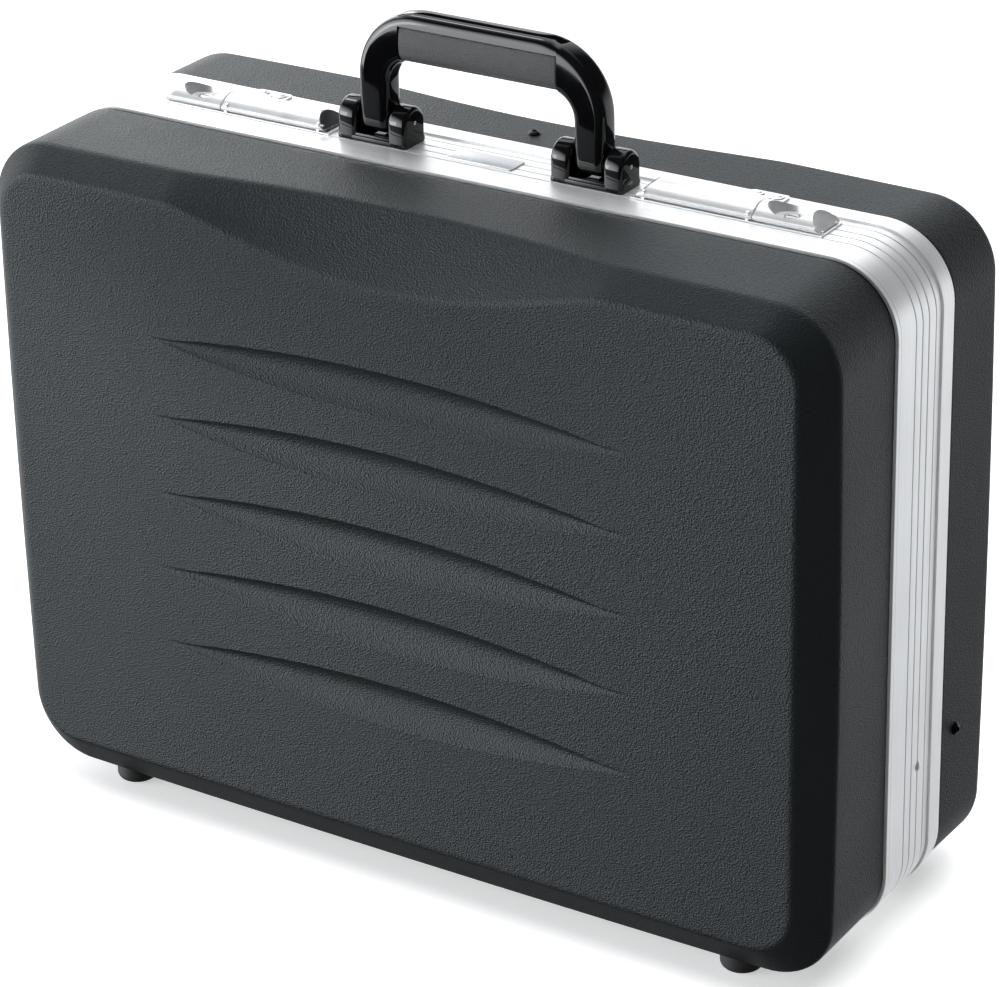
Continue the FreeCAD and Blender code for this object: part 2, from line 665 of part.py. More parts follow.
def hasp():
    """Latch bar, hinged along its near edge; its tab reaches over the striker."""
    x0 = LOCK_INNER_X
    x1 = LOCK_SEAM_X - 0.3
    bar = lock_section(x0, 1.1).extrude(V(x1 - x0, 0, 0))
    tab = box(STRIKER_X - 6, STRIKER_X + 6, LOCK_Y1 - 2, PARTING_FAR + 3.4, TOP + 3.1, TOP + 4.4)
    bar = bar.fuse(tab)
    hollow = box(x0 + 7, x1 - 4.2, LOCK_Y0 + 6.2, LOCK_Y1 - 1.8, TOP, TOP + 5.4)
    gap = 0.3
    ear_slots = [box(x - gap, x + EAR_T + gap, LOCK_Y0 - 1, HASP_AXIS_Y + 2.4, TOP, TOP + 5.8) for x in EARS]
    bore = rod(HASP_PIN_R + FIT, V(80, HASP_AXIS_Y, HASP_AXIS_Z), X_AXIS, 80)
    return solids_cut(bar, [end_slope(x0, -1), hollow, bore] + ear_slots).removeSplitter()


def hasp_pin():
    start = EARS[0] - 2.0
    return rod(HASP_PIN_R, V(start, HASP_AXIS_Y, HASP_AXIS_Z), X_AXIS, LOCK_SEAM_X - 1.0 - start)


def hasp_spring():
    """Bent steel strip in the bar's hollow, fixed to the plate at its far end."""
    y = LOCK_Y1 - 3.0
    z = TOP + LOCK_PLATE
    points = [(y, z), (y, z + 0.4), (y - 4.0, z + 0.4), (y - 9.0, z + 3.9), (y - 9.3, z + 3.6), (y - 4.1, z)]
    return prism(points, "yz", 108.0, 8.0)


def pocket(x):
    """Oval finger pocket with a sloping wall that runs on above the body."""
    depth = TOP + LOCK_HEIGHT - POCKET_FLOOR_Z
    above = 3.0
    reach = (depth + above) / depth
    mouth = [low + (high - low) * reach for low, high in zip(POCKET_FLOOR, POCKET_RIM)]
    wires = []
    for rise, radii in ((0.0, POCKET_FLOOR), (depth + above, mouth)):
        oval = Part.Ellipse(V(x, POCKET_Y, POCKET_FLOOR_Z + rise), radii[0], radii[1])
        wires.append(Part.Wire(oval.toShape()))
    return Part.makeLoft(wires, True, True)


def slider():
    """Sliding body with the finger pocket, and a bore for the key cylinder in its floor."""
    x0 = LOCK_SEAM_X + 0.3
    x1 = LOCK_OUTER_X
    body = lock_section(x0, 1.1).extrude(V(x1 - x0, 0, 0))
    cuts = [end_slope(x1, 1), pocket(POCKET_X)]
    cuts.append(rod(PLUG_R + FIT, V(POCKET_X, POCKET_Y, TOP), Z_AXIS, 6))
    for y in (LOCK_Y0 + 3.6, LOCK_Y1 - 3.6):
        cuts.append(box(x0 - 1, x1 + 1, y - 0.6 - CLEAR, y + 0.6 + CLEAR, TOP, TOP + 2.3))
    cuts.append(box(x0 + 22.0, x1 - 4.5, POCKET_Y - 1.8, POCKET_Y + 2.6, TOP, TOP + 2.35))
    return solids_cut(body, cuts).removeSplitter()


def slider_spring():
    """Bent strip spring in the slider's channel, as short as it is when the slider is pushed out."""
    folds = 4
    pitch = 0.9
    strip = 0.2
    low = TOP + LOCK_PLATE + 0.1
    rise = 1.0
    start = LOCK_OUTER_X - 4.7 - folds * pitch
    line_of_folds = [(start + k * pitch, low + rise * (k % 2)) for k in range(folds + 1)]
    back = [(x, z + strip * 1.8) for x, z in reversed(line_of_folds)]
    return prism(line_of_folds + back, "xz", POCKET_Y - 1.4, 3.6)


def key_cylinder():
    """Key plug with its slot, in the pocket's floor."""
    z0 = TOP + LOCK_PLATE + CLEAR
    z1 = POCKET_FLOOR_Z + 0.5
    plug = rod(PLUG_R, V(POCKET_X, POCKET_Y, z0), Z_AXIS, z1 - z0)
    slot = box(POCKET_X - 2.6, POCKET_X + 2.6, POCKET_Y - 0.45, POCKET_Y + 0.45, z1 - 1.4, z1 + 1)
    return plug.cut(slot)


def striker():
    """Riveted plate on the far frame, with a low ridge at its near edge."""
    x0 = STRIKER_X - 10.5
    x1 = STRIKER_X + 10.5
    z0 = TOP + 0.6
    plate = box(x0, x1, PARTING_FAR + 0.5, PARTING_FAR + 15.3, z0, z0 + 1.0)
    ridge = box(STRIKER_X - 7, STRIKER_X + 7, PARTING_FAR + 0.5, PARTING_FAR + 1.7, z0, TOP + 2.7)
    corners = [e for e in plate.Edges if e.BoundBox.ZLength > 0.5 and e.BoundBox.YMin > PARTING_FAR + 10]
    plate = plate.makeFillet(2.5, corners)
    holes = [shank_hole(p, V(0, 0, -1), STRIKER_SHANK, 1.3) for p in STRIKER_RIVETS if p.x > 0]
    return solids_cut(plate.fuse(ridge), holes).removeSplitter()


# ---- hinges ----

def hinge_rivet_heads(side):
    """Rivet heads of both hinge leaves on one half, under the case."""
    y = HINGE_Y - 9.5 if side < 0 else HINGE_Y + 10.5
    z = HINGE_Z + 1.3 if side < 0 else HINGE_Z + 0.7
    return [V(s * HINGE_X + d, y, z) for s in (-1, 1) for d in HINGE_RIVET_DX]


def knuckle(x0, x1, bore_r):
    tube = rod(KNUCKLE_R, V(x0, HINGE_Y, HINGE_Z), X_AXIS, x1 - x0)
    return tube.cut(rod(bore_r, V(x0 - 1, HINGE_Y, HINGE_Z), X_AXIS, x1 - x0 + 2))


def hinge_leaf(side):
    """Right hinge leaf: the near one has the two outer knuckles and the far one the middle knuckle."""
    half = HINGE_LENGTH / 2
    third = HINGE_LENGTH / 6
    if side < 0:
        z0 = HINGE_Z + 1.3
        spans = [(-half, -third), (third, half)]
        plate = box(HINGE_X - half, HINGE_X + half, HINGE_Y - 15.0, HINGE_Y - 3.0, z0, z0 + 1.2)
        arms = [box(HINGE_X + a, HINGE_X + b, HINGE_Y - 4.0, HINGE_Y, z0, z0 + 1.2) for a, b in spans]
        bore = HINGE_PIN_R
    else:
        z0 = HINGE_Z + 0.7
        spans = [(-third + CLEAR, third - CLEAR)]
        plate = box(HINGE_X - half, HINGE_X + half, HINGE_Y + 3.0, HINGE_Y + 16.0, z0, z0 + 1.2)
        arms = [box(HINGE_X + a, HINGE_X + b, HINGE_Y, HINGE_Y + 4.0, z0, z0 + 1.2) for a, b in spans]
        bore = HINGE_PIN_R + FIT
    rings = [knuckle(HINGE_X + a, HINGE_X + b, bore) for a, b in spans]
    pin_space = rod(bore, V(HINGE_X - half - 1, HINGE_Y, HINGE_Z), X_AXIS, HINGE_LENGTH + 2)
    leaf = fuse([plate] + arms + rings)
    holes = [shank_hole(p, Z_AXIS, 9.0, 1.3) for p in hinge_rivet_heads(side) if p.x > 0]
    return solids_cut(leaf, [pin_space] + holes)


def hinge_pin():
    start = V(HINGE_X - HINGE_LENGTH / 2, HINGE_Y, HINGE_Z)
    return rod(HINGE_PIN_R, start, X_AXIS, HINGE_LENGTH)


def hinge_rivets(side):
    heads = hinge_rivet_heads(side)
    shank = GROUND_GAP - FRAME_IN - heads[0].z
    return group([rivet(p, Z_AXIS, shank, height=0.9) for p in heads])


# ---- lid stays ----


def plate_between(points, radii, x0, thickness):
    """Flat plate that joins round ends at some points of a side plane."""
    discs = [rod(r, V(x0, y, z), X_AXIS, thickness) for (y, z), r in zip(points, radii)]
    webs = []
    for a in range(len(points) - 1):
        (y0, z0), (y1, z1) = points[a], points[a + 1]
        span = math.hypot(y1 - y0, z1 - z0)
        across = ((z0 - z1) / span, (y1 - y0) / span)
        r0 = radii[a]
        r1 = radii[a + 1]
        corners = [
            (y0 + across[0] * r0, z0 + across[1] * r0), (y1 + across[0] * r1, z1 + across[1] * r1),
            (y1 - across[0] * r1, z1 - across[1] * r1), (y0 - across[0] * r0, z0 - across[1] * r0),
        ]
        webs.append(prism(corners, "yz", x0, thickness))
    return fuse(discs + webs)


def headed_stud(y, z, radius, from_x):
    """Stud that stands inwards from a plate, with a flat head beyond the arm."""
    stem = rod(radius, V(STUD_END_X, y, z), X_AXIS, from_x - STUD_END_X)
    head = rod(radius + 1.6, V(STUD_END_X, y, z), X_AXIS, 1.2)
    return stem.fuse(head).removeSplitter()


def stay_plate():
    """Near plate, riveted to the frame, with the stud that the slotted arm slides on."""
    x0 = STAY_WALL_X - STAY_PLATE_T
    ends = [(STUD_Y, STAY_Z), (STAY_RIVET_Y - 1.5, STAY_RIVET_Z)]
    plate = plate_between(ends, [7.0, 5.0], x0, STAY_PLATE_T)
    stud = headed_stud(STUD_Y, STAY_Z, STUD_R, x0 + 0.5)
    holes = [shank_hole(p, V(-1, 0, 0), STAY_RIVET_SHANK, 1.3) for p in STAY_RIVETS if p.x > 0]
    return solids_cut(fuse([plate, stud]), holes)


def stay_rivets():
    return group([rivet(p, inward_of(p.x), STAY_RIVET_SHANK - 0.2) for p in STAY_RIVETS])


def stay_pivot_plate():
    """Far plate, from the arm's pivot to the shell screw, with a spacer bush against the shell."""
    x0 = STAY_WALL_X - STAY_PLATE_T
    points = [(PIVOT_Y, STAY_Z), (SHELL_SCREW_Y, SHELL_SCREW_Z)]
    plate = plate_between(points, [5.0, 6.0], x0, STAY_PLATE_T)
    hole = rod(1.5, V(x0 - 1, SHELL_SCREW_Y, SHELL_SCREW_Z), X_AXIS, 12)
    pin_hole = rod(2.0, V(x0 - 1, PIVOT_Y, STAY_Z), X_AXIS, 12)
    return solids_cut(plate, [hole, pin_hole])


def stay_pivot_pins():
    """Pivot rivets of both arms."""
    x1 = STAY_WALL_X
    right = headed_stud(PIVOT_Y, STAY_Z, 2.0, x1)
    return group([right, mirrored(right)])


def stay_arm():
    """Slotted arm: it pivots on the lid and its slot slides over the near half's stud."""
    swing = math.radians(LID_OPEN_DEG)
    start = math.atan2(STAY_OFFSET, STAY_Z - HINGE_Z) * 2
    far = 2 * STAY_RADIUS * math.sin((start + swing) / 2)
    near = 2 * STAY_OFFSET
    x0 = ARM_OUT_X - ARM_T
    tip_y = PIVOT_Y - far - 0.4
    arm = plate_between([(PIVOT_Y, STAY_Z), (tip_y, STAY_Z)], [5.2, 5.2], x0, ARM_T)
    slot_r = STUD_R + 0.2
    slot_ends = [(PIVOT_Y - near + 0.3, STAY_Z), (tip_y, STAY_Z)]
    slot = plate_between(slot_ends, [slot_r, slot_r], x0 - 1, ARM_T + 2)
    bore = rod(2.0 + FIT, V(x0 - 1, PIVOT_Y, STAY_Z), X_AXIS, ARM_T + 2)
    return solids_cut(arm, [slot, bore])


# ---- feet ----

def foot_screw_points(y):
    return [V(s * FOOT_X, y, 4.2) for s in (-1, 1)]


def feet(y, body):
    """Two rubber feet, domed below and shaped to the shell above, with a recess for the screw."""
    made = []
    for p in foot_screw_points(y):
        column = rod(FOOT_R, V(p.x, p.y, 0), Z_AXIS, 14.0)
        low = [e for e in column.Edges if e.BoundBox.ZMax < 0.01]
        column = column.makeFillet(3.5, low)
        recess = rod(4.4, V(p.x, p.y, -1), Z_AXIS, 5.2)
        hole = rod(1.5, V(p.x, p.y, -1), Z_AXIS, 30)
        trimmed = column.cut(Part.makeCompound([body, recess, hole]))
        made.append(sorted(trimmed.Solids, key=lambda s: s.BoundBox.ZMin)[0])
    return group(made)


def foot_screws(y):
    """Pan-head screws in the feet."""
    made = []
    for p in foot_screw_points(y):
        head = rod(3.6, V(p.x, p.y, 2.4), Z_AXIS, 1.8)
        cross = box(p.x - 2.2, p.x + 2.2, p.y - 0.4, p.y + 0.4, 1.5, 3.3)
        stem = rod(1.5, V(p.x, p.y, 4.0), Z_AXIS, 9.6)
        nut = rod(3.2, V(p.x, p.y, 13.6), Z_AXIS, 2.0)
        made.append(fuse([head.cut(cross), stem, nut]))
    return group(made)


def lock_rivets():
    """Rivets that hold the lock plates, under the latch bars."""
    return group([rivet(p, V(0, 0, -1), LOCK_SHANK - 0.2, height=0.9) for p in LOCK_RIVETS])


def striker_rivets():
    """Two rivets through each striker."""
    return group([rivet(p, V(0, 0, -1), STRIKER_SHANK - 0.2, radius=3.7, height=1.2) for p in STRIKER_RIVETS])


# ---- the assembly ----

def both_sides(name, shape):
    """The right-hand part and its mirror image, as two nodes."""
    return {name + "_right": shape, name + "_left": mirrored(shape)}


def assembly():
    """Every node of the case, by name."""
    near_outer = shell_body(SEAM_NEAR, -1, NEAR_SHELL_DEPTH, 0.0)
    far_outer = shell_body(SEAM_FAR, 1, FAR_SHELL_DEPTH, 0.0)
    nodes = {
        "front_shell": front_shell(),
        "front_frame": front_frame(),
        "frame_seal": frame_seal(),
        "front_splice": splice(-1),
        "front_splice_rivets": splice_rivets(-1),
        "front_feet": feet(FRONT_FOOT_Y, near_outer),
        "front_foot_screws": foot_screws(FRONT_FOOT_Y),
        "handle_backing_plate": handle_backing_plate(),
        "bracket_screws": group([countersunk(p) for p in bracket_screw_heads()]),
        "badge_plate": badge_plate(),
        "handle_bow": handle_bow(),
        "handle_grip": handle_grip(),
        "lock_rivets": lock_rivets(),
        "stay_rivets": stay_rivets(),
        "hinge_rivets_front": hinge_rivets(-1),
        "rear_shell": rear_shell(),
        "rear_frame": rear_frame(),
        "rear_splice": splice(1),
        "rear_splice_rivets": splice_rivets(1),
        "rear_feet": feet(REAR_FOOT_Y, far_outer),
        "rear_foot_screws": foot_screws(REAR_FOOT_Y),
        "striker_rivets": striker_rivets(),
        "shell_screws": shell_screws(),
        "hinge_rivets_rear": hinge_rivets(1),
        "stay_pivot_pins": stay_pivot_pins(),
    }
    pairs = {
        "handle_bracket": bracket_right(),
        "handle_pin": handle_pin_right(),
        "lock_plate": lock_plate(),
        "hasp": hasp(),
        "hasp_pin": hasp_pin(),
        "hasp_spring": hasp_spring(),
        "slider": slider(),
        "slider_spring": slider_spring(),
        "key_cylinder": key_cylinder(),
        "striker": striker(),
        "hinge_leaf_front": hinge_leaf(-1),
        "hinge_leaf_rear": hinge_leaf(1),
        "hinge_pin": hinge_pin(),
        "stay_plate": stay_plate(),
        "stay_pivot_plate": stay_pivot_plate(),
        "stay_arm": stay_arm(),
    }
    for name, shape in pairs.items():
        nodes.update(both_sides(name, shape))
    return nodes


def main():
    os.makedirs("parts", exist_ok=True)
    for name, shape in assembly().items():
        shape.exportStep("parts/" + name + ".step")
        print(name, len(shape.Solids), round(shape.Volume), shape.isValid())


main()
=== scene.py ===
"""Looks of the aluminium-framed attache case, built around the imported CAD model.

Lengths inside the functions are in millimetres and go to metres when a mesh is made.
"""
import math

import bmesh
import bpy
from mathutils import Euler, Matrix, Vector


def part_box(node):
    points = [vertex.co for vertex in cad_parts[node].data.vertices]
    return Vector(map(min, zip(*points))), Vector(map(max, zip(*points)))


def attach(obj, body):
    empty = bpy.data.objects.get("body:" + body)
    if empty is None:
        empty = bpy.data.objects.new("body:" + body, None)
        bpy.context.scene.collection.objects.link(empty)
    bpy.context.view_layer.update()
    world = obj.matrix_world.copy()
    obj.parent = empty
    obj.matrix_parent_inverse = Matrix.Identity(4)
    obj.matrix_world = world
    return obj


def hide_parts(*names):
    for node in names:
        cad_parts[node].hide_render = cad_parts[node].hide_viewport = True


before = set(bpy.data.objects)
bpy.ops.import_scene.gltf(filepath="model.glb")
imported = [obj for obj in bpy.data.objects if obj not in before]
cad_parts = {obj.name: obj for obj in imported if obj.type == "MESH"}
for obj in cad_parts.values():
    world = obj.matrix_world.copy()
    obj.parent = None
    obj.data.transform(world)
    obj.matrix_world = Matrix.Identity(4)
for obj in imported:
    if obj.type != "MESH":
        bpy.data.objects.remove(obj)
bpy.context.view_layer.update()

SCENE = bpy.context.scene


def span(node):
    """Lowest and highest corner of a CAD node, in millimetres."""
    low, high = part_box(node)
    return low * 1000, high * 1000


# ---- places taken from the CAD nodes ----
FRAME_LOW, FRAME_HIGH = span("front_frame")
LIP_OUT = 0.35
HALF_W = FRAME_HIGH.x - LIP_OUT
HALF_H = (FRAME_HIGH.z - FRAME_LOW.z) / 2 - LIP_OUT
CENTRE_Z = (FRAME_HIGH.z + FRAME_LOW.z) / 2
TOP = FRAME_HIGH.z - LIP_OUT
SEAM_NEAR = FRAME_LOW.y
PARTING_FAR = FRAME_HIGH.y + 0.5
SEAM_FAR = span("rear_frame")[1].y
FACE_NEAR = span("front_shell")[0].y
FACE_FAR = span("rear_shell")[1].y
CORNER = 36.0


# ---- mesh helpers ----

def mesh_object(name, verts, faces, sharp=35.0, uvs=None):
    """Object from points in millimetres, smooth except at edges sharper than the angle."""
    mesh = bpy.data.meshes.new(name)
    mesh.from_pydata([(x / 1000, y / 1000, z / 1000) for x, y, z in verts], [], faces)
    bm = bmesh.new()
    bm.from_mesh(mesh)
    bmesh.ops.recalc_face_normals(bm, faces=bm.faces)
    bm.to_mesh(mesh)
    bm.free()
    mesh.shade_smooth()
    mesh.set_sharp_from_angle(angle=math.radians(sharp))
    if uvs:
        layer = mesh.uv_layers.new(name="along")
        for loop in mesh.loops:
            layer.data[loop.index].uv = uvs[loop.vertex_index]
    made = bpy.data.objects.new(name, mesh)
    SCENE.collection.objects.link(made)
    return made


def strip_faces(rings, points, loop_rings, loop_points, first=0):
    """Quads between neighbouring rings that have the same number of points."""
    faces = []
    for i in range(rings if loop_rings else rings - 1):
        a = first + i * points
        b = first + (i + 1) % rings * points
        for j in range(points if loop_points else points - 1):
            k = (j + 1) % points
            faces.append((a + j, b + j, b + k, a + k))
    return faces


def swept(name, rings, closed=False, sharp=35.0):
    """Solid through rings of points, capped at both ends unless it closes on itself."""
    count = len(rings[0])
    verts = [p for ring in rings for p in ring]
    faces = strip_faces(len(rings), count, closed, True)
    if not closed:
        faces.append(tuple(range(count)))
        faces.append(tuple(range(len(verts) - count, len(verts))))
    return mesh_object(name, verts, faces, sharp)


def fillet_run(before, corner, after, reach, steps=5):
    """Points of a soft corner between two directions, reach millimetres long on each side."""
    a = corner + (before - corner).normalized() * reach
    b = corner + (after - corner).normalized() * reach
    points = []
    for k in range(steps + 1):
        s = k / steps
        points.append(a * (1 - s) ** 2 + corner * (2 * s * (1 - s)) + b * s ** 2)
    return points


def bevelled(points, width):
    """Closed 2-D outline with every corner cut by a small bevel."""
    made = []
    count = len(points)
    for k in range(count):
        here = Vector(points[k])
        for other in (Vector(points[k - 1]), Vector(points[(k + 1) % count])):
            edge = other - here
            made.append(here + edge.normalized() * min(width, edge.length * 0.4))
    return made


def rounded_outline(half_w, half_h, radius, centre_z, corner_steps=22, straight_steps=6):
    """Points (x, z) of a rounded rectangle, counted round from the right side's lower end."""
    points = []
    for k in range(4):
        turn = k * math.pi / 2
        across = Vector((math.cos(turn), math.sin(turn)))
        along = Vector((-across.y, across.x))
        reach, run = (half_w, half_h - radius) if k % 2 == 0 else (half_h, half_w - radius)
        for i in range(straight_steps):
            points.append(across * reach + along * (run * (2 * i / straight_steps - 1)))
        centre = across * (reach - radius) + along * run
        for i in range(corner_steps):
            angle = turn + math.pi / 2 * i / corner_steps
            points.append(centre + Vector((math.cos(angle), math.sin(angle))) * radius)
    return [(p.x, p.y + centre_z) for p in points]


def lathe(name, profile, centre, axis, segments=40, sharp=35.0):
    """Turned piece: profile of (radius, height) from the tip to the base, about an axis."""
    axis = Vector(axis).normalized()
    side = axis.orthogonal().normalized()
    other = axis.cross(side)
    rings = []
    for radius, height in profile:
        ring = []
        for k in range(segments):
            angle = 2 * math.pi * k / segments
            spoke = side * math.cos(angle) + other * math.sin(angle)
            ring.append(Vector(centre) + axis * height + spoke * radius)
        rings.append(ring)
    return swept(name, rings, sharp=sharp)


def joined(name, objects):
    """One object from several, named as given."""
    bm = bmesh.new()
    for piece in objects:
        bm.from_mesh(piece.data)
        bpy.data.objects.remove(piece)
    mesh = bpy.data.meshes.new(name)
    bm.to_mesh(mesh)
    bm.free()
    made = bpy.data.objects.new(name, mesh)
    SCENE.collection.objects.link(made)
    return made


def cut(target, cutters, sharp=35.0):
    """Takes the cutters' shapes out of the target's mesh."""
    for cutter in cutters:
        modifier = target.modifiers.new("cut", "BOOLEAN")
        modifier.object = cutter
        modifier.operation = "DIFFERENCE"
        modifier.solver = "EXACT"
    graph = bpy.context.evaluated_depsgraph_get()
    mesh = bpy.data.meshes.new_from_object(target.evaluated_get(graph))
    target.modifiers.clear()
    target.data = mesh
    mesh.shade_smooth()
    mesh.set_sharp_from_angle(angle=math.radians(sharp))
    for cutter in cutters:
        bpy.data.objects.remove(cutter)
    return target


def dressed(piece, body, material, *nodes):
    """Gives a piece its material and its body, and hides the CAD nodes it stands for."""
    piece.data.materials.clear()
    piece.data.materials.append(material)
    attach(piece, body)
    if nodes:
        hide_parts(*nodes)
    return piece


# ---- materials ----

class Shader:
    """Small helper around one node material with a Principled shader."""

    def __init__(self, name, colour, roughness, metallic=0.0, **sockets):
        self.material = bpy.data.materials.new(name)
        self.material.use_nodes = True
        self.tree = self.material.node_tree
        self.bsdf = self.tree.nodes["Principled BSDF"]
        self.bsdf.inputs["Base Color"].default_value = (*colour, 1)
        self.bsdf.inputs["Roughness"].default_value = roughness
        self.bsdf.inputs["Metallic"].default_value = metallic
        for socket, value in sockets.items():
            self.bsdf.inputs[socket.replace("_", " ")].default_value = value
        self.colour = colour
        self.height = None

    def node(self, kind, **settings):
        made = self.tree.nodes.new("ShaderNode" + kind)
        for key, value in settings.items():
            setattr(made, key, value)
        return made

    def link(self, output, socket):
        self.tree.links.new(output, socket)

    def coordinates(self, stretch=(1, 1, 1), uv=False):
        source = self.node("TexCoord").outputs["UV" if uv else "Object"]
        mapping = self.node("Mapping")
        mapping.inputs["Scale"].default_value = stretch
        self.link(source, mapping.inputs["Vector"])
        return mapping.outputs["Vector"]

    def noise(self, scale, detail=3.0, rough=0.5, stretch=(1, 1, 1), uv=False, distortion=0.0):
        made = self.node("TexNoise")
        made.inputs["Scale"].default_value = scale
        made.inputs["Detail"].default_value = detail
        made.inputs["Roughness"].default_value = rough
        made.inputs["Distortion"].default_value = distortion
        self.link(self.coordinates(stretch, uv), made.inputs["Vector"])
        return made.outputs["Fac"]

    def cells(self, scale, stretch=(1, 1, 1), warp=0.0):
        """Rounded pebbles: 0 in a pebble's middle, rising to its edge."""
        vector = self.coordinates(stretch)
        if warp:
            shake = self.node("TexNoise")
            shake.inputs["Scale"].default_value = scale * 0.35
            self.link(vector, shake.inputs["Vector"])
            add = self.node("VectorMath", operation="MULTIPLY_ADD")
            add.inputs[1].default_value = (warp,) * 3
            self.link(shake.outputs["Color"], add.inputs[0])
            self.link(vector, add.inputs[2])
            vector = add.outputs[0]
        made = self.node("TexVoronoi", feature="SMOOTH_F1")
        made.inputs["Scale"].default_value = scale
        made.inputs["Smoothness"].default_value = 0.35
        self.link(vector, made.inputs["Vector"])
        return made.outputs["Distance"]

    def ramp(self, factor, low, high):
        """Factor mapped from 0.3..0.7 to low..high."""
        made = self.node("MapRange")
        made.inputs["From Min"].default_value = 0.3
        made.inputs["From Max"].default_value = 0.7
        made.inputs["To Min"].default_value = low
        made.inputs["To Max"].default_value = high
        self.link(factor, made.inputs["Value"])
        return made.outputs["Result"]

    def vary_colour(self, factor, low, high):
        """Base colour times low to high, following the factor."""
        scale = self.node("VectorMath", operation="SCALE")
        scale.inputs[0].default_value = self.colour
        self.link(self.ramp(factor, low, high), scale.inputs["Scale"])
        self.link(scale.outputs[0], self.bsdf.inputs["Base Color"])

    def vary_roughness(self, factor, low, high):
        self.link(self.ramp(factor, low, high), self.bsdf.inputs["Roughness"])

    def bump(self, factor, depth, strength=1.0):
        """Adds a bump of that depth in metres on top of the bumps so far."""
        made = self.node("Bump")
        made.inputs["Distance"].default_value = depth
        made.inputs["Strength"].default_value = strength
        self.link(factor, made.inputs["Height"])
        if self.height:
            self.link(self.height, made.inputs["Normal"])
        self.height = made.outputs["Normal"]
        self.link(self.height, self.bsdf.inputs["Normal"])

    def mix(self, a, b, amount):
        made = self.node("Mix", data_type="FLOAT")
        made.inputs[0].default_value = amount
        self.link(a, made.inputs[2])
        self.link(b, made.inputs[3])
        return made.outputs[0]


def leather_plastic(name):
    """Moulded black plastic with a fine leather grain."""
    s = Shader(name, (0.0075, 0.0090, 0.0098), 0.42, Specular_IOR_Level=0.32,
               Specular_Tint=(0.86, 0.96, 1.0, 1))
    grain = s.cells(1050.0, (1.0, 1.0, 1.3), 0.0008)
    creases = s.noise(1300.0, 4.0, 0.6, (0.7, 1.0, 1.3))
    broad = s.noise(7.0, 4.0, 0.6)
    s.bump(s.mix(grain, creases, 0.35), 0.00044, 1.0)
    s.vary_colour(s.mix(creases, broad, 0.55), 0.86, 1.16)
    s.vary_roughness(s.mix(grain, broad, 0.5), 0.40, 0.52)
    return s.material


def brushed(name, colour=(0.955, 0.958, 0.960), roughness=0.35, uv=True, stretch=(2.2, 1000.0, 1.0)):
    """Anodised aluminium brushed along its length."""
    s = Shader(name, colour, roughness, 0.70)
    lines = s.noise(1.0, 5.0, 0.65, stretch, uv)
    wide = s.noise(1.0, 3.0, 0.5, (stretch[0] * 2.0, stretch[1] * 0.22, stretch[2]), uv)
    haze = s.noise(14.0, 4.0, 0.6)
    s.bump(lines, 0.000035, 0.8)
    s.vary_colour(s.mix(lines, wide, 0.45), 0.90, 1.05)
    s.vary_roughness(s.mix(lines, haze, 0.5), roughness - 0.07, roughness + 0.10)
    return s.material


def satin_metal(name, colour, roughness, grain=1500.0, metallic=1.0):
    """Cast or turned metal with a fine satin surface and a little handling haze."""
    s = Shader(name, colour, roughness, metallic)
    fine = s.noise(grain, 3.0, 0.6)
    haze = s.noise(60.0, 4.0, 0.6)
    s.bump(fine, 0.00001, 0.6)
    s.vary_colour(haze, 0.93, 1.03)
    s.vary_roughness(s.mix(fine, haze, 0.6), roughness - 0.05, roughness + 0.08)
    return s.material


def gloss_black(name):
    """Polished black plastic with faint hairlines and finger haze."""
    s = Shader(name, (0.0025, 0.0026, 0.0030), 0.05, Specular_IOR_Level=0.62)
    hair = s.noise(180.0, 5.0, 0.7, (0.25, 1.0, 2.5))
    haze = s.noise(45.0, 4.0, 0.65)
    s.bump(hair, 0.000006, 0.3)
    s.vary_colour(haze, 0.85, 1.2)
    s.vary_roughness(haze, 0.035, 0.085)
    return s.material


def fine_plastic(name, colour, roughness, grain, depth):
    """Matt plastic or rubber with a sandy texture."""
    s = Shader(name, colour, roughness)
    sand = s.noise(grain, 2.0, 0.7)
    haze = s.noise(40.0, 4.0, 0.6)
    s.bump(sand, depth, 0.9)
    s.vary_colour(s.mix(sand, haze, 0.4), 0.75, 1.3)
    s.vary_roughness(haze, roughness - 0.06, roughness + 0.08)
    return s.material


SHELL = leather_plastic("shell_leather_grain")
FRAME = brushed("frame_brushed")
LOCK = satin_metal("lock_satin", (0.93, 0.933, 0.936), 0.33, 1500.0, 0.74)
STEEL = satin_metal("steel_satin", (0.62, 0.63, 0.64), 0.26)
RIVET = satin_metal("rivet_aluminium", (0.90, 0.903, 0.906), 0.30, 1500.0, 0.80)
SHEET = brushed("sheet_brushed", (0.74, 0.745, 0.75), 0.32, False, (25.0, 900.0, 900.0))
GLOSS = gloss_black("gloss_black")
GRIP = fine_plastic("grip_texture", (0.050, 0.052, 0.055), 0.50, 1400.0, 0.00060)
RUBBER = fine_plastic("rubber", (0.011, 0.011, 0.012), 0.68, 1800.0, 0.00005)
# Near-black material for the slab on the hasps' sloping ends: a painted reflection of the black bracket,
# not a plastic part.
BRACKET_REFLECTION_DARK = fine_plastic("painted_bracket_reflection", (0.016, 0.016, 0.018), 0.42, 1500.0, 0.00003)
SCREW = satin_metal("screw_black", (0.035, 0.036, 0.038), 0.30)
BADGE = satin_metal("badge_plate", (0.62, 0.625, 0.64), 0.36, 900.0, 0.85)


# ---- shells ----

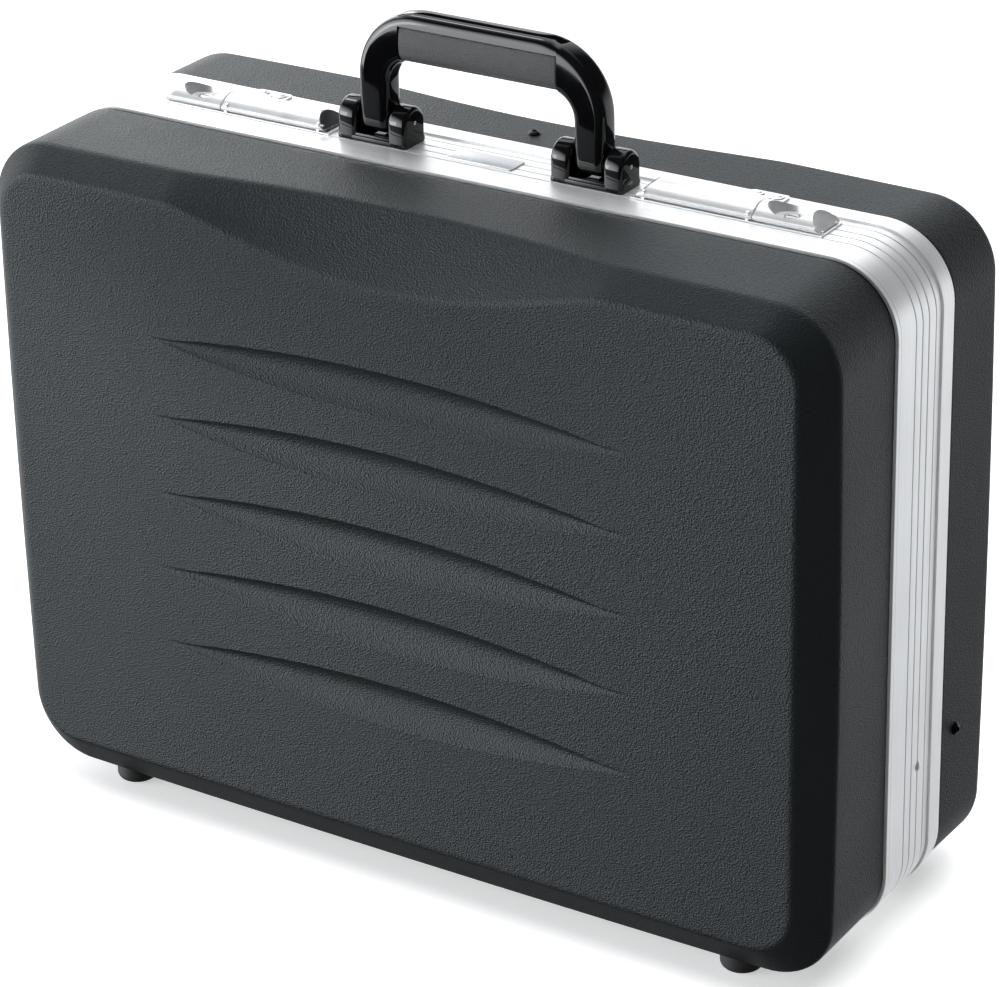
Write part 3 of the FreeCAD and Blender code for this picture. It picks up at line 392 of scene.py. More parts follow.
RIM_BACK = 15.4
RIM = (HALF_W + 0.4, HALF_H - 1.7, 35.0)
FACE = (226.2, 159.6, 24.0)
FACE_LIFT = 4.3
WAVE_LENGTH = 128.0
WAVE_DROP = 20.6
WAVE_SETBACK = 9.0
WALL = 3.0
RIM_BOW = 1.2
FLANGE = -1.8
FLANGE_REACH = 9.6
WALL_FOOT = -0.7
WALL_TOE = ((-0.72, 1.9), (-0.95, 1.65), (-1.3, 1.6))
ROOT_HEIGHT = 2.2
MITRE = WALL * math.tan(math.radians(22.5))
SOFT = 2.4
GROOVES = 5
GROOVE_PITCH = 42.2
GROOVE_TOP = CENTRE_Z + 90.0
GROOVE_REACH = 134.0
GROOVE_DEPTH = 3.8
GROOVE_UP = 11.2
GROOVE_DOWN = 12.4
HALF_PITCH = GROOVE_PITCH / 2


def wave(x):
    """Share of the wave recess at x: 1 in the middle, 0 from its ends outwards."""
    t = x / WAVE_LENGTH
    return max(0.0, 1.04 * (1 - t * t) ** 1.3 - 0.04) if abs(t) < 1 else 0.0


def smooth_step(value):
    value = min(max(value, 0.0), 1.0)
    return value * value * (3 - 2 * value)


def lens(x):
    """Groove's height at x as a share of its height in the middle."""
    return max(0.0, 1 - (x / GROOVE_REACH) ** 2)


def groove_profile(q):
    """Depth across a groove from -1 at its lower edge to 1 at its upper edge, steeper at the top."""
    deepest = 0.16
    reach = 1 - deepest if q > deepest else 1 + deepest
    return 1 - abs((q - deepest) / reach) ** 1.9


def groove_row(x, r):
    """Offset in z, and depth, at x on row r of a groove's band: its lips are at r = -0.5 and 0.5."""
    narrow = 0.11 + 0.74 * smooth_step((abs(x) - GROOVE_REACH - 4) / 56)
    share = max(lens(x), narrow)
    up = GROOVE_UP * share
    down = GROOVE_DOWN * share
    q = 2 * r
    if abs(r) <= 0.5:
        depth = GROOVE_DEPTH * lens(x) ** 0.85 * groove_profile(q)
        return (q * up if q > 0 else q * down), depth
    lip = up if r > 0 else -down
    outer = math.copysign(HALF_PITCH, r)
    return lip + (outer - lip) * (abs(r) - 0.5) / 0.5, 0.0


def corner_square(a, b):
    """Point of the unit square moved into the unit quarter disc."""
    return a * math.sqrt(1 - b * b / 2), b * math.sqrt(1 - a * a / 2)


def lattice(column, row, outline):
    """Point (x, z) of a lattice that fills a rounded rectangle with slightly bowed sides."""
    half_w, half_h, radius, centre_z, bow = outline
    side, a = column
    level, b = row[:2]
    if side and level:
        u, v = corner_square(a, b)
        return side * (half_w - radius + radius * u), centre_z + level * (half_h - radius + radius * v)
    if side:
        reach = radius + bow * (1 - b * b)
        return side * (half_w - radius + a * reach), centre_z + b * (half_h - radius)
    if level:
        reach = radius + bow * (1 - a * a)
        return a * (half_w - radius), centre_z + level * (half_h - radius + b * reach)
    return a * (half_w - radius), centre_z + b * (half_h - radius)


def shell_lattice():
    """Columns and rows of the face's lattice, with rows that follow the grooves' edges."""
    steps = 8
    corner = [math.sqrt(2) * math.sin(math.pi / 4 * k / steps) for k in range(1, steps + 1)]
    straight = 92
    columns = [(-1, a) for a in reversed(corner)]
    columns += [(0, 2 * k / straight - 1) for k in range(straight + 1)]
    columns += [(1, a) for a in corner]
    lens_rows = [-0.5, -0.488, -0.46, -0.42, -0.36, -0.29, -0.21, -0.13, -0.05, 0.03, 0.08, 0.14,
                 0.21, 0.28, 0.35, 0.42, 0.46, 0.488, 0.5]
    band = [-1.0, -0.88, -0.76, -0.64, -0.56, -0.52] + lens_rows + [0.52, 0.56, 0.64, 0.76, 0.88]
    centre = CENTRE_Z + FACE_LIFT
    run = FACE[1] - FACE[2]
    rows = []
    low = GROOVE_TOP - (GROOVES - 1) * GROOVE_PITCH - HALF_PITCH
    for k in range(7):
        rows.append((0, ((centre - run) * (7 - k) / 7 + low * k / 7 - centre) / run, None, 0.0))
    for g in reversed(range(GROOVES)):
        middle = GROOVE_TOP - g * GROOVE_PITCH
        for r in band:
            rows.append((0, (middle + r * HALF_PITCH - centre) / run, middle, r))
    high = GROOVE_TOP + HALF_PITCH
    for k in range(9):
        rows.append((0, (high * (8 - k) / 8 + (centre + run) * k / 8 - centre) / run, None, 0.0))
    rows = [(-1, b, None, 0.0) for b in reversed(corner)] + rows + [(1, b, None, 0.0) for b in corner]
    return columns, rows


def shell_side(column, row, face_y, seam, sign, inset, at_top):
    """Points from the face's edge to the seam on one line of the shell, outside or inside."""
    rise = wave(lattice(column, row, (*FACE, 0, 0))[0]) if at_top else 0.0
    mitre = MITRE if inset else 0.0
    face = (*(size - mitre for size in FACE), CENTRE_Z + FACE_LIFT, 0)
    rim = (*(size - inset for size in RIM), CENTRE_Z, RIM_BOW)
    wall_end = (FLANGE if inset else WALL_FOOT) - inset
    seam_line = (HALF_W + wall_end, HALF_H + wall_end, CORNER + wall_end, CENTRE_Z, 0)

    def point(outline, y, drop=0.0):
        x, z = lattice(column, row, outline)
        return Vector((x, y, z - drop))

    edge = point(face, face_y - sign * inset, WAVE_DROP * rise)
    soft_face = (*(size - SOFT for size in face[:3]), face[3], 0)
    inner = point(soft_face, face_y - sign * inset, WAVE_DROP * rise)
    corner = point(rim, face_y - sign * (RIM_BACK + mitre + WAVE_SETBACK * rise))
    root = point(seam_line, seam + sign * ROOT_HEIGHT)
    points = fillet_run(inner, edge, corner, (inner - edge).length)
    points += [edge.lerp(corner, s) for s in (0.35, 0.5, 0.65)]
    points += fillet_run(edge, corner, root, SOFT, 6)
    points += [corner.lerp(root, s) for s in (0.2, 0.4, 0.6, 0.8, 0.97)]
    if inset:
        return points + [point(seam_line, seam - sign * FLANGE_REACH)]
    for offset, along in (*WALL_TOE, (FLANGE, 1.6), (FLANGE, -FLANGE_REACH)):
        outline = (HALF_W + offset, HALF_H + offset, CORNER + offset, CENTRE_Z, 0)
        points.append(point(outline, seam + sign * along))
    return points


def shell_face(columns, rows, face_y, sign, inset):
    """Face of the shell inside its soft edge, with the grooves pressed in."""
    mitre = MITRE if inset else 0.0
    outline = (*(size - mitre - SOFT for size in FACE), CENTRE_Z + FACE_LIFT, 0)
    top = outline[3] + outline[1]
    free = GROOVE_TOP + HALF_PITCH
    verts = []
    for row in rows:
        for column in columns:
            x, z = lattice(column, row, outline)
            depth = 0.0
            if row[2] is not None:
                shift, depth = groove_row(x, row[3])
                z = row[2] + shift
            if z > free:
                z -= WAVE_DROP * wave(x) * (z - free) / (top - free)
            verts.append(Vector((x, face_y - sign * (inset + depth), z)))
    return verts


def shell_piece(name, node, seam, face_y, sign):
    """One moulded shell: outside, flange and inside as one closed surface."""
    columns, rows = shell_lattice()
    wide = len(columns)
    tall = len(rows)
    border = [(i, tall - 1) for i in range(wide)] + [(wide - 1, j) for j in range(tall - 2, -1, -1)]
    border += [(i, 0) for i in range(wide - 2, -1, -1)] + [(0, j) for j in range(1, tall - 1)]
    verts = []
    faces = []
    starts = []
    for inset in (0.0, WALL):
        starts.append(len(verts))
        base = len(verts)
        verts += shell_face(columns, rows, face_y, sign, inset)
        for j in range(tall - 1):
            for i in range(wide - 1):
                a = base + j * wide + i
                faces.append((a, a + 1, a + wide + 1, a + wide))
    sides = []
    for i, j in border:
        lines = []
        for inset in (0.0, WALL):
            side = shell_side(columns[i], rows[j], face_y, seam, sign, inset, j == tall - 1)
            lines.append(side[1:])
        first = len(verts)
        path = lines[0] + lines[1][::-1]
        verts += path
        spot = j * wide + i
        sides.append([starts[0] + spot, *range(first, first + len(path)), starts[1] + spot])
    for k in range(len(sides)):
        here = sides[k]
        there = sides[(k + 1) % len(sides)]
        for m in range(len(here) - 1):
            faces.append((here[m], here[m + 1], there[m + 1], there[m]))
    piece = mesh_object(name, verts, faces, 42.0)
    body = "base" if sign < 0 else "lid"
    return dressed(piece, body, SHELL, node)


shell_piece("near_shell_moulding", "front_shell", SEAM_NEAR, FACE_NEAR, -1)
shell_piece("far_shell_moulding", "rear_shell", SEAM_FAR, FACE_FAR, 1)


# ---- frames ----

def frame_piece(name, node, body, section):
    """Extrusion bent round the case: the section's points are (outward offset, y)."""
    section = bevelled(section, 0.16)
    around = len(rounded_outline(HALF_W, HALF_H, CORNER, CENTRE_Z))
    rings = [[] for _ in range(around)]
    uvs = [[] for _ in range(around)]
    travelled = 0.0
    for offset, y in section:
        outline = rounded_outline(HALF_W + offset, HALF_H + offset, CORNER + offset, CENTRE_Z)
        for k, (x, z) in enumerate(outline):
            rings[k].append((x, y, z))
    middle = rounded_outline(HALF_W, HALF_H, CORNER, CENTRE_Z)
    across = [0.0]
    for k in range(1, len(section)):
        across.append(across[-1] + (section[k] - section[k - 1]).length)
    for k in range(around):
        uvs[k] = [(travelled / 1000, a / 1000) for a in across]
        step = Vector(middle[(k + 1) % around]) - Vector(middle[k])
        travelled += step.length
    count = len(section)
    verts = [p for ring in rings for p in ring]
    faces = strip_faces(around, count, True, True)
    flat_uvs = [uv for ring in uvs for uv in ring]
    piece = mesh_object(name, verts, faces, 25.0, flat_uvs)
    return dressed(piece, body, FRAME, node)


def steps_section(seam, bands, tail):
    """Outer steps of a frame from (start, end, offset) bands, followed by the inner corners."""
    points = []
    for start, end, offset in bands:
        points += [(offset, seam + start), (offset, seam + end)]
    return points + [(offset, seam + along) for along, offset in tail]


NEAR_BANDS = [
    (0.0, 3.0, 0.35), (3.0, 3.6, -0.5), (3.6, 18.0, 0.0), (18.0, 18.8, -0.7), (18.8, 24.5, 0.0),
    (24.5, 25.3, -0.7), (25.3, 31.0, 0.0), (31.0, 31.8, -0.7), (31.8, 38.2, 0.0), (38.2, 39.0, -0.6),
]
NEAR_TAIL = [(39.0, -6.5), (2.0, -6.5), (2.0, -5.1), (10.0, -5.1), (10.0, -1.5), (0.0, -1.5)]
FAR_BANDS = [(0.0, 4.5, -0.4), (4.5, 5.1, -0.9), (5.1, 14.6, 0.6), (14.6, 17.0, 0.25)]
FAR_TAIL = [
    (17.0, -1.5), (7.0, -1.5), (7.0, -5.1), (15.0, -5.1), (15.0, -6.5), (6.0, -6.5), (6.0, -8.1),
    (-3.5, -8.1), (-3.5, -6.9), (1.0, -6.9), (1.0, -6.5), (0.0, -6.5),
]
frame_piece("near_frame_extrusion", "front_frame", "base", steps_section(SEAM_NEAR, NEAR_BANDS, NEAR_TAIL))
frame_piece("far_frame_extrusion", "rear_frame", "lid", steps_section(PARTING_FAR, FAR_BANDS, FAR_TAIL))


# ---- handle ----

PIN_LOW, PIN_HIGH = span("handle_pin_right")
HANDLE_Y = (PIN_LOW.y + PIN_HIGH.y) / 2
PIVOT_Z = (PIN_LOW.z + PIN_HIGH.z) / 2
BOW_HIGH = span("handle_bow")[1]
BOW_W = BOW_HIGH.x
BOW_TOP = BOW_HIGH.z
BOW_HALF_DEPTH = 7.5
BOW_EDGE_R = 4.6
CORE_HALF = 5.0
CORE_RISE = 3.4
BAR = 25.0
LEG = 17.4
OUTER_R = 36.0
INNER_R = 13.0
GRIP_LOW, GRIP_HIGH = span("handle_grip")
GAP = 0.35
SEAT_END = GRIP_HIGH.x + GAP


def bow_stations():
    """Matching points on the bow's outer and inner lines, from the left eye to the right eye."""
    left = []
    for drop in (7.3, 7.0, 6.4, 5.4, 4.0, 2.2, 0.0):
        left.append(((-BOW_W, PIVOT_Z - drop), (LEG - BOW_W, PIVOT_Z - drop)))
    outer_turn = BOW_TOP - OUTER_R
    inner_turn = BOW_TOP - BAR - INNER_R
    for k in range(1, 6):
        s = k / 6
        outer_z = PIVOT_Z + (outer_turn - PIVOT_Z) * s
        inner_z = PIVOT_Z + (inner_turn - PIVOT_Z) * s
        left.append(((-BOW_W, outer_z), (LEG - BOW_W, inner_z)))
    steps = 18
    outer_end = math.acos((OUTER_R - BOW_W + SEAT_END) / OUTER_R)
    inner_end = math.acos(1 - (BOW_W - LEG - SEAT_END) / INNER_R)
    for k in range(steps + 1):
        a = outer_end * k / steps
        b = inner_end * k / steps
        outer = (OUTER_R - BOW_W - OUTER_R * math.cos(a), outer_turn + OUTER_R * math.sin(a))
        inner = (LEG - BOW_W + INNER_R * (1 - math.cos(b)), inner_turn + INNER_R * math.sin(b))
        left.append((outer, inner))
    right = [((-o[0], o[1]), (-i[0], i[1])) for o, i in reversed(left)]
    return left, right


def bar_heights(x):
    """Upper and lower line of the bow's bar at x, where its corners still curve."""
    outer = max(0.0, abs(x) - (BOW_W - OUTER_R))
    inner = max(0.0, abs(x) - (BOW_W - LEG - INNER_R))
    high = BOW_TOP - OUTER_R + math.sqrt(OUTER_R ** 2 - outer ** 2)
    low = BOW_TOP - BAR - INNER_R + math.sqrt(INNER_R ** 2 - inner ** 2)
    return high, low


def bow_section(outer, inner, seat):
    """Closed section across the bow; a seat leaves room for the grip round its lower part."""
    o = Vector((outer[0], 0, outer[1]))
    i = Vector((inner[0], 0, inner[1]))
    width = (i - o).length
    inward = (i - o).normalized()
    sunk = max(0.0, PIVOT_Z - outer[1])
    half = math.sqrt(max(BOW_HALF_DEPTH ** 2 - sunk ** 2, 0.5))
    r = min(BOW_EDGE_R, half * 0.8)
    shoulder = BOW_TOP - GRIP_HIGH.z - GAP
    points = []
    for k in range(8):
        angle = math.pi / 2 * k / 7
        points.append((r * (1 - math.cos(angle)), half - r + r * math.sin(angle)))
    share = outer[1] - BOW_TOP + shoulder if seat else shoulder / BAR * width
    points.append((share, half))
    if seat:
        points += [(share, CORE_HALF)] + [(width - CORE_RISE, CORE_HALF)] * 9
    else:
        points.append((share + 0.3, half))
        for k in range(8):
            angle = math.pi / 2 * k / 7
            points.append((width - r + r * math.sin(angle), half - r + r * math.cos(angle)))
        points.append((width, 0.02))
    ring = [(v, y) for v, y in points] + [(v, -y) for v, y in reversed(points)]
    return [o + inward * v + Vector((0, HANDLE_Y - y, 0)) for v, y in ring]


def make_bow():
    left, right = bow_stations()
    rings = [bow_section(o, i, False) for o, i in left]
    for k in range(25):
        x = SEAT_END * (k / 12 - 1)
        high, low = bar_heights(x)
        rings.append(bow_section((x, high), (x, low), True))
    rings += [bow_section(o, i, False) for o, i in right]
    piece = swept("handle_bow_gloss", rings, sharp=40.0)
    dressed(piece, "handle", GLOSS, "handle_bow")


def make_grip():
    """Textured insert: a rounded block wrapped round the lower part of the bar."""
    half = (GRIP_HIGH.y - GRIP_LOW.y) / 2
    low = GRIP_LOW.z
    high = GRIP_HIGH.z
    section = []
    r = 5.0
    edge = 0.9
    for k in range(7):
        angle = math.pi / 2 * k / 6
        section.append((half - edge * (1 - math.sin(angle)), high - edge * (1 - math.cos(angle))))
    for k in range(1, 7):
        section.append((half, high - edge + (low + r - high + edge) * k / 7))
    for k in range(9):
        angle = math.pi / 2 * k / 8
        section.append((half - r * (1 - math.cos(angle)), low + r * (1 - math.sin(angle))))
    middle_z = (low + high) / 2
    barrel = 1.2
    section = [(y - barrel * ((z - middle_z) * 2 / (high - low)) ** 2, z) for y, z in section]
    ring = section + [(-y, z) for y, z in reversed(section)]
    rings = []
    left_end = []
    for k in range(6):
        angle = math.pi / 2 * k / 5
        left_end.append((-GRIP_HIGH.x + edge * (1 - math.cos(angle)), edge * (1 - math.sin(angle))))
    right_end = [(-x, inset) for x, inset in reversed(left_end)]
    middle = [(GRIP_HIGH.x * share, 0.0) for share in (-0.6, -0.2, 0.2, 0.6)]
    for x, inset in left_end + middle + right_end:
        scale_y = (half - inset) / half
        scale_z = ((high - low) / 2 - inset) / ((high - low) / 2)
        rings.append([(x, HANDLE_Y + y * scale_y, middle_z + (z - middle_z) * scale_z) for y, z in ring])
    dressed(swept("handle_grip_insert", rings), "handle", GRIP, "handle_grip")


make_bow()
make_grip()


CHEEK_THICK = 10.9
CHEEK_SOFT = 2.2
FOOT_HEIGHT = 2.7
LIP_INSET = 9
LIP_TOP = 4.0


def cheek(name, x0, x1, low, dome_z, half, soft):
    """Bracket cheek: a domed slab with soft edges on both faces."""
    rings = []
    steps = 5
    near_face = []
    for k in range(steps + 1):
        angle = math.pi / 2 * k / steps
        near_face.append((x0 + soft * (1 - math.cos(angle)), soft * (1 - math.sin(angle))))
    far_face = [(x0 + x1 - x, inset) for x, inset in reversed(near_face)]
    for x, inset in near_face + far_face:
        radius = half - inset
        ring = [(x, HANDLE_Y - radius, low), (x, HANDLE_Y - radius, (low + dome_z) / 2)]
        for k in range(25):
            angle = math.pi * k / 24
            ring.append((x, HANDLE_Y - radius * math.cos(angle), dome_z + radius * math.sin(angle)))
        ring += [(x, HANDLE_Y + radius, (low + dome_z) / 2), (x, HANDLE_Y + radius, low)]
        rings.append(ring)
    return swept(name, rings)


def soft_block(name, low, high, soft, steps=3):
    """Block with rounded edges."""
    bm = bmesh.new()
    bmesh.ops.create_cube(bm, size=1.0)
    for v in bm.verts:
        v.co = Vector([(l + h) / 2 + c * (h - l) for l, h, c in zip(low, high, v.co)])
    bmesh.ops.bevel(bm, geom=bm.edges, offset=soft, segments=steps, affect="EDGES", profile=0.5)
    verts = [v.co.copy() for v in bm.verts]
    faces = [[v.index for v in f.verts] for f in bm.faces]
    bm.free()
    return mesh_object(name, verts, faces)


def make_bracket(side):
    node = "handle_bracket_" + side
    low, high = span(node)
    foot_low = (low.x + 0.3, low.y, low.z)
    foot_high = (high.x - 0.3, high.y, low.z + FOOT_HEIGHT)
    parts = [soft_block(node + "_foot", foot_low, foot_high, 0.6)]
    half = (high.y - low.y) / 2
    for x0 in (low.x, high.x - CHEEK_THICK):
        parts.append(cheek(node + "_cheek", x0, x0 + CHEEK_THICK, low.z, high.z - half, half, CHEEK_SOFT))
    lip_low = (low.x + LIP_INSET, low.y + 0.8, low.z + 1.0)
    lip_high = (high.x - LIP_INSET, low.y + 2.6, low.z + LIP_TOP)
    parts.append(soft_block(node + "_lip", lip_low, lip_high, 0.7))
    dressed(joined(node + "_gloss", parts), "base", GLOSS, node)


make_bracket("left")
make_bracket("right")


def make_pin_ends():
    """Bright ends of the two handle pins on the outer faces of the cheeks."""
    ends = []
    for side in ("left", "right"):
        low, high = span("handle_bracket_" + side)
        for x, out in ((low.x, -1), (high.x, 1)):
            profile = [(0.05, -0.15), (0.35, -0.15), (0.45, 0.12), (0.85, 0.12), (1.0, 0.02), (1.05, -0.3)]
            ends.append(lathe("pin_end", profile, (x, HANDLE_Y, PIVOT_Z), (out, 0, 0), 24))
    dressed(joined("handle_pin_ends", ends), "base", RIVET)


make_pin_ends()


# ---- locks ----

HASP_LOW, HASP_HIGH = span("hasp_right")
SLIDER_LOW, SLIDER_HIGH = span("slider_right")
LOCK_TOP = SLIDER_HIGH.z
LOCK_Y0 = SLIDER_LOW.y
LOCK_Y1 = LOCK_Y0 + 20.6
POCKET_RADII = ((9.0, 6.6), (9.4, 6.95), (12.4, 9.2), (14.4, 10.7))
POCKET_POINTS = 64
TAB_X = (137.8, 149.8)
KEY_PROFILE = (
    (0.6, 0.0), (3.1, 0.0), (3.35, -0.25), (3.45, -0.6), (3.7, -0.6), (3.75, -0.15), (3.95, -0.1),
    (4.0, -0.4), (4.0, -2.2),
)
KEY_SLOT = (2.6, 0.5)


def lock_ring():
    """Points (y, z) of the half-round bar: toe, low step along the near edge, crown and heel."""
    bottom = TOP + 1.1
    ring = [(LOCK_Y1 - 0.25, bottom), (LOCK_Y0 + 2.2, bottom)]
    for k in range(1, 6):
        angle = math.pi / 2 * k / 5
        ring.append((LOCK_Y0 + 2.2 - 2.2 * math.sin(angle), bottom + 2.2 * (1 - math.cos(angle))))
    ring += [(LOCK_Y0 + 0.1, TOP + 3.5), (LOCK_Y0 + 0.35, TOP + 3.75), (LOCK_Y0 + 0.8, TOP + 3.85)]
    near = Vector((LOCK_Y0 + 1.1, TOP + 3.8))
    back = Vector((LOCK_Y1, TOP + 3.2))
    crown = Vector(((LOCK_Y0 + LOCK_Y1) / 2 + 0.3, LOCK_TOP))
    half = (back - near).length / 2
    rise = crown.y - (near.y + back.y) / 2
    radius = (half ** 2 + rise ** 2) / (2 * rise)
    centre = Vector((crown.x, LOCK_TOP - radius))
    start = math.atan2(near.y - centre.y, near.x - centre.x)
    end = math.atan2(back.y - centre.y, back.x - centre.x)
    for k in range(29):
        angle = start + (end - start) * k / 28
        ring.append((centre.x + radius * math.cos(angle), centre.y + radius * math.sin(angle)))
    ring += [(LOCK_Y1, bottom + 0.25)]
    return ring


def lock_bar(name, x0, x1, slope_low, slope_high, pieces=24):
    """Bar along x with 45 degree ends where asked, and small bevels at both ends."""
    ring = lock_ring()
    middle_y = (LOCK_Y0 + LOCK_Y1) / 2
    middle_z = (TOP + LOCK_TOP) / 2
    stations = [(0.0, 0.35), (0.12, 0.12), (0.35, 0.0)]
    length = x1 - x0
    stations += [(length * k / pieces, 0.0) for k in range(1, pieces)]
    stations += [(length - 0.35, 0.0), (length - 0.12, 0.12), (length, 0.35)]
    rings = []
    for along, inset in stations:
        line = []
        share = along / length
        for y, z in ring:
            shear = (z - TOP) * (slope_low * (1 - share) - slope_high * share)
            dy = math.copysign(min(inset, abs(y - middle_y)), middle_y - y)
            dz = math.copysign(min(inset, abs(z - middle_z)), middle_z - z)
            line.append((x0 + along + shear, y + dy, z + dz))
        rings.append(line)
    return swept(name, rings, sharp=32.0)


def bracket_reflection_slab(side):
    """Thin dark slab on the bar's sloping end beside the bracket: a painted reflection of the black bracket
    in that face, not a plastic plug.
    """
    ring = lock_ring()
    middle_y = (LOCK_Y0 + LOCK_Y1) / 2
    rings = []
    for lift, share in ((-0.35, 0.93), (-0.22, 0.96), (0.1, 0.96)):
        x0 = HASP_LOW.x + lift
        rings.append([(x0 + (z - TOP), middle_y + (y - middle_y) * share, z) for y, z in ring])
    return swept("hasp_" + side + "_bracket_reflection_slab", rings)


def pocket_cutter(name, x, y, floor_z):
    """Oval finger pocket with a sloping wall."""
    levels = (floor_z, floor_z + 0.25, LOCK_TOP, LOCK_TOP + 4)
    turns = [2 * math.pi * k / POCKET_POINTS for k in range(POCKET_POINTS)]
    rings = []
    for z, (a, b) in zip(levels, POCKET_RADII):
        rings.append([(x + a * math.cos(turn), y + b * math.sin(turn), z) for turn in turns])
    return swept(name, rings)


def mirrored_to_left(piece):
    """Mirror of a right-hand piece, in place."""
    for v in piece.data.vertices:
        v.co.x = -v.co.x
    piece.data.flip_normals()
    return piece


def make_lock(side):
    bar = lock_bar("hasp_" + side + "_bar", HASP_LOW.x, HASP_HIGH.x, 1.0, 0.0)
    tab_low = (TAB_X[0], LOCK_Y1 - 2, TOP + 3.1)
    tab = soft_block("tab", tab_low, (TAB_X[1], HASP_HIGH.y, TOP + 4.4), 0.3)
    bar = joined("hasp_" + side + "_bar", [bar, tab])
    slider = lock_bar("slider_" + side + "_body", SLIDER_LOW.x, SLIDER_HIGH.x, 0.0, 1.0, 30)
    key_low, key_high = span("key_cylinder_right")
    x = (key_low.x + key_high.x) / 2
    y = (key_low.y + key_high.y) / 2
    floor_z = key_high.z - 0.5
    slider = cut(slider, [pocket_cutter("pocket", x, y, floor_z)], 30.0)
    top = key_high.z + 0.5
    plug = lathe("key_cylinder_" + side + "_face", KEY_PROFILE, (x, y, top), (0, 0, 1), 48)
    long, wide = KEY_SLOT
    slot_low = (x - long, y - wide, top - 1.4)
    slot = soft_block("slot", slot_low, (x + long, y + wide, top + 1), 0.12, 1)
    plug = cut(plug, [slot], 30.0)
    # Dark slab on the sloping end: painted reflection of the black bracket.
    reflection_slab = bracket_reflection_slab(side)
    if side == "left":
        for piece in (bar, slider, plug, reflection_slab):
            mirrored_to_left(piece)
    dressed(reflection_slab, "hasp_" + side, BRACKET_REFLECTION_DARK)
    dressed(bar, "hasp_" + side, LOCK, "hasp_" + side)
    dressed(slider, "slider_" + side, LOCK, "slider_" + side)
    dressed(plug, "key_" + side, STEEL, "key_cylinder_" + side)


make_lock("right")
make_lock("left")


# ---- badge, rivets and screws ----

def rounded_plate(name, low, high, radius, soft):
    """Thin plate with round corners and a soft upper edge."""
    middle = (low + high) / 2
    rings = []
    for z, inset in ((low.z, 0.0), (high.z - soft, 0.0), (high.z - soft * 0.3, soft * 0.3), (high.z, soft)):
        half_x = (high.x - low.x) / 2 - inset
        half_y = (high.y - low.y) / 2 - inset
        outline = rounded_outline(half_x, half_y, radius - inset, 0.0, 6, 2)
        rings.append([(middle.x + x, middle.y + y, z) for x, y in outline])
    return swept(name, rings)


BADGE_LOW, BADGE_HIGH = span("badge_plate")
dressed(rounded_plate("badge_plate_blank", BADGE_LOW, BADGE_HIGH, 1.2, 0.2), "base", BADGE, "badge_plate")


RIVET_OFFSET = 5.4
RIVET_SHARES = (
    (0.01, 1.0), (0.20, 0.985), (0.34, 0.94), (0.44, 0.86), (0.51, 0.74), (0.56, 0.60), (0.62, 0.52),
    (0.70, 0.49), (0.80, 0.45), (0.89, 0.36), (0.955, 0.22), (0.99, 0.06), (1.0, -0.5),
)


def rivet_profile(radius, height):
    """Raised middle inside a rounded flange, from the tip down."""
    return [(radius * r, height * h) for r, h in RIVET_SHARES]


def make_striker_rivets():
    low, high = span("striker_rivets")
    head_z = span("striker_right")[0].z + 1.0
    y = (low.y + high.y) / 2
    heads = []
    radius = (high.y - low.y) / 2
    striker_x = (span("striker_right")[0].x + span("striker_right")[1].x) / 2
    right = (striker_x - RIVET_OFFSET, striker_x + RIVET_OFFSET)
    for x in (*right, -right[0], -right[1]):
        heads.append(lathe("rivet", rivet_profile(radius, high.z - head_z), (x, y, head_z), (0, 0, 1)))
    dressed(joined("striker_rivet_heads", heads), "lid", RIVET, "striker_rivets")


make_striker_rivets()

CAD_LOOKS = {
    SCREW: ("shell_screws", "bracket_screws"),
    RUBBER: ("front_feet", "rear_feet"),
    STEEL: ("handle_pin", "hasp_pin", "hinge_pin", "foot_screws", "lock_rivets", "spring", "stay_arm"),
    RIVET: ("rivet", "stay_pins"),
    LOCK: ("lock_plate", "striker"),
}


def look_of(node):
    """Material of a CAD node that stays visible."""
    for material, words in CAD_LOOKS.items():
        if any(word in node for word in words):
            return material
    if "seal" in node or "gasket" in node:
        return RUBBER
    return SHEET


for node_name, node_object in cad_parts.items():
    node_object.data.materials.clear()
    node_object.data.materials.append(look_of(node_name))


# ---- floor, lights and camera ----

PAPER = (0.90, 0.903, 0.905)
WHITE = (1, 1, 1, 1)
FLOOR_SIZE = 12000.0
WALL_RADIUS = 5900.0
WALL_Z = (-600.0, 8000.0)


def clear_over_open_lid(s):
    """Makes the floor see-through wherever a part of the case is below it, as the open lid is."""
    below = s.node("AmbientOcclusion", inside=True, samples=16)
    below.inputs["Distance"].default_value = 0.5
    solid = s.node("MapRange")
    solid.inputs["From Min"].default_value = 0.93
    solid.inputs["From Max"].default_value = 0.999
    s.link(below.outputs["AO"], solid.inputs["Value"])
    clear = s.node("BsdfTransparent")
    choice = s.node("MixShader")
    s.link(solid.outputs["Result"], choice.inputs["Fac"])
    s.link(clear.outputs["BSDF"], choice.inputs[1])
    s.link(s.bsdf.outputs["BSDF"], choice.inputs[2])
    s.link(choice.outputs["Shader"], s.tree.nodes["Material Output"].inputs["Surface"])


def make_floor():
    steps = 12
    places = [FLOOR_SIZE * (k / steps - 0.5) for k in range(steps + 1)]
    verts = [(x, y, 0.0) for y in places for x in places]
    faces = strip_faces(steps + 1, steps + 1, False, False)
    floor = mesh_object("studio_floor", verts, faces)
    s = Shader("floor_paper", PAPER, 0.6, Emission_Color=WHITE, Emission_Strength=0.5)
    tone = s.noise(1.5, 2.0, 0.5)
    s.vary_colour(tone, 0.99, 1.01)
    clear_over_open_lid(s)
    floor.data.materials.append(s.material)
    floor.visible_glossy = False


def seen_only_by(stage_piece, ray):
    """Shows a piece of the stage to one kind of ray and to no other."""
    for kind in ("camera", "diffuse", "glossy", "transmission", "volume_scatter"):
        setattr(stage_piece, "visible_" + kind, kind == ray)
    stage_piece.visible_shadow = False


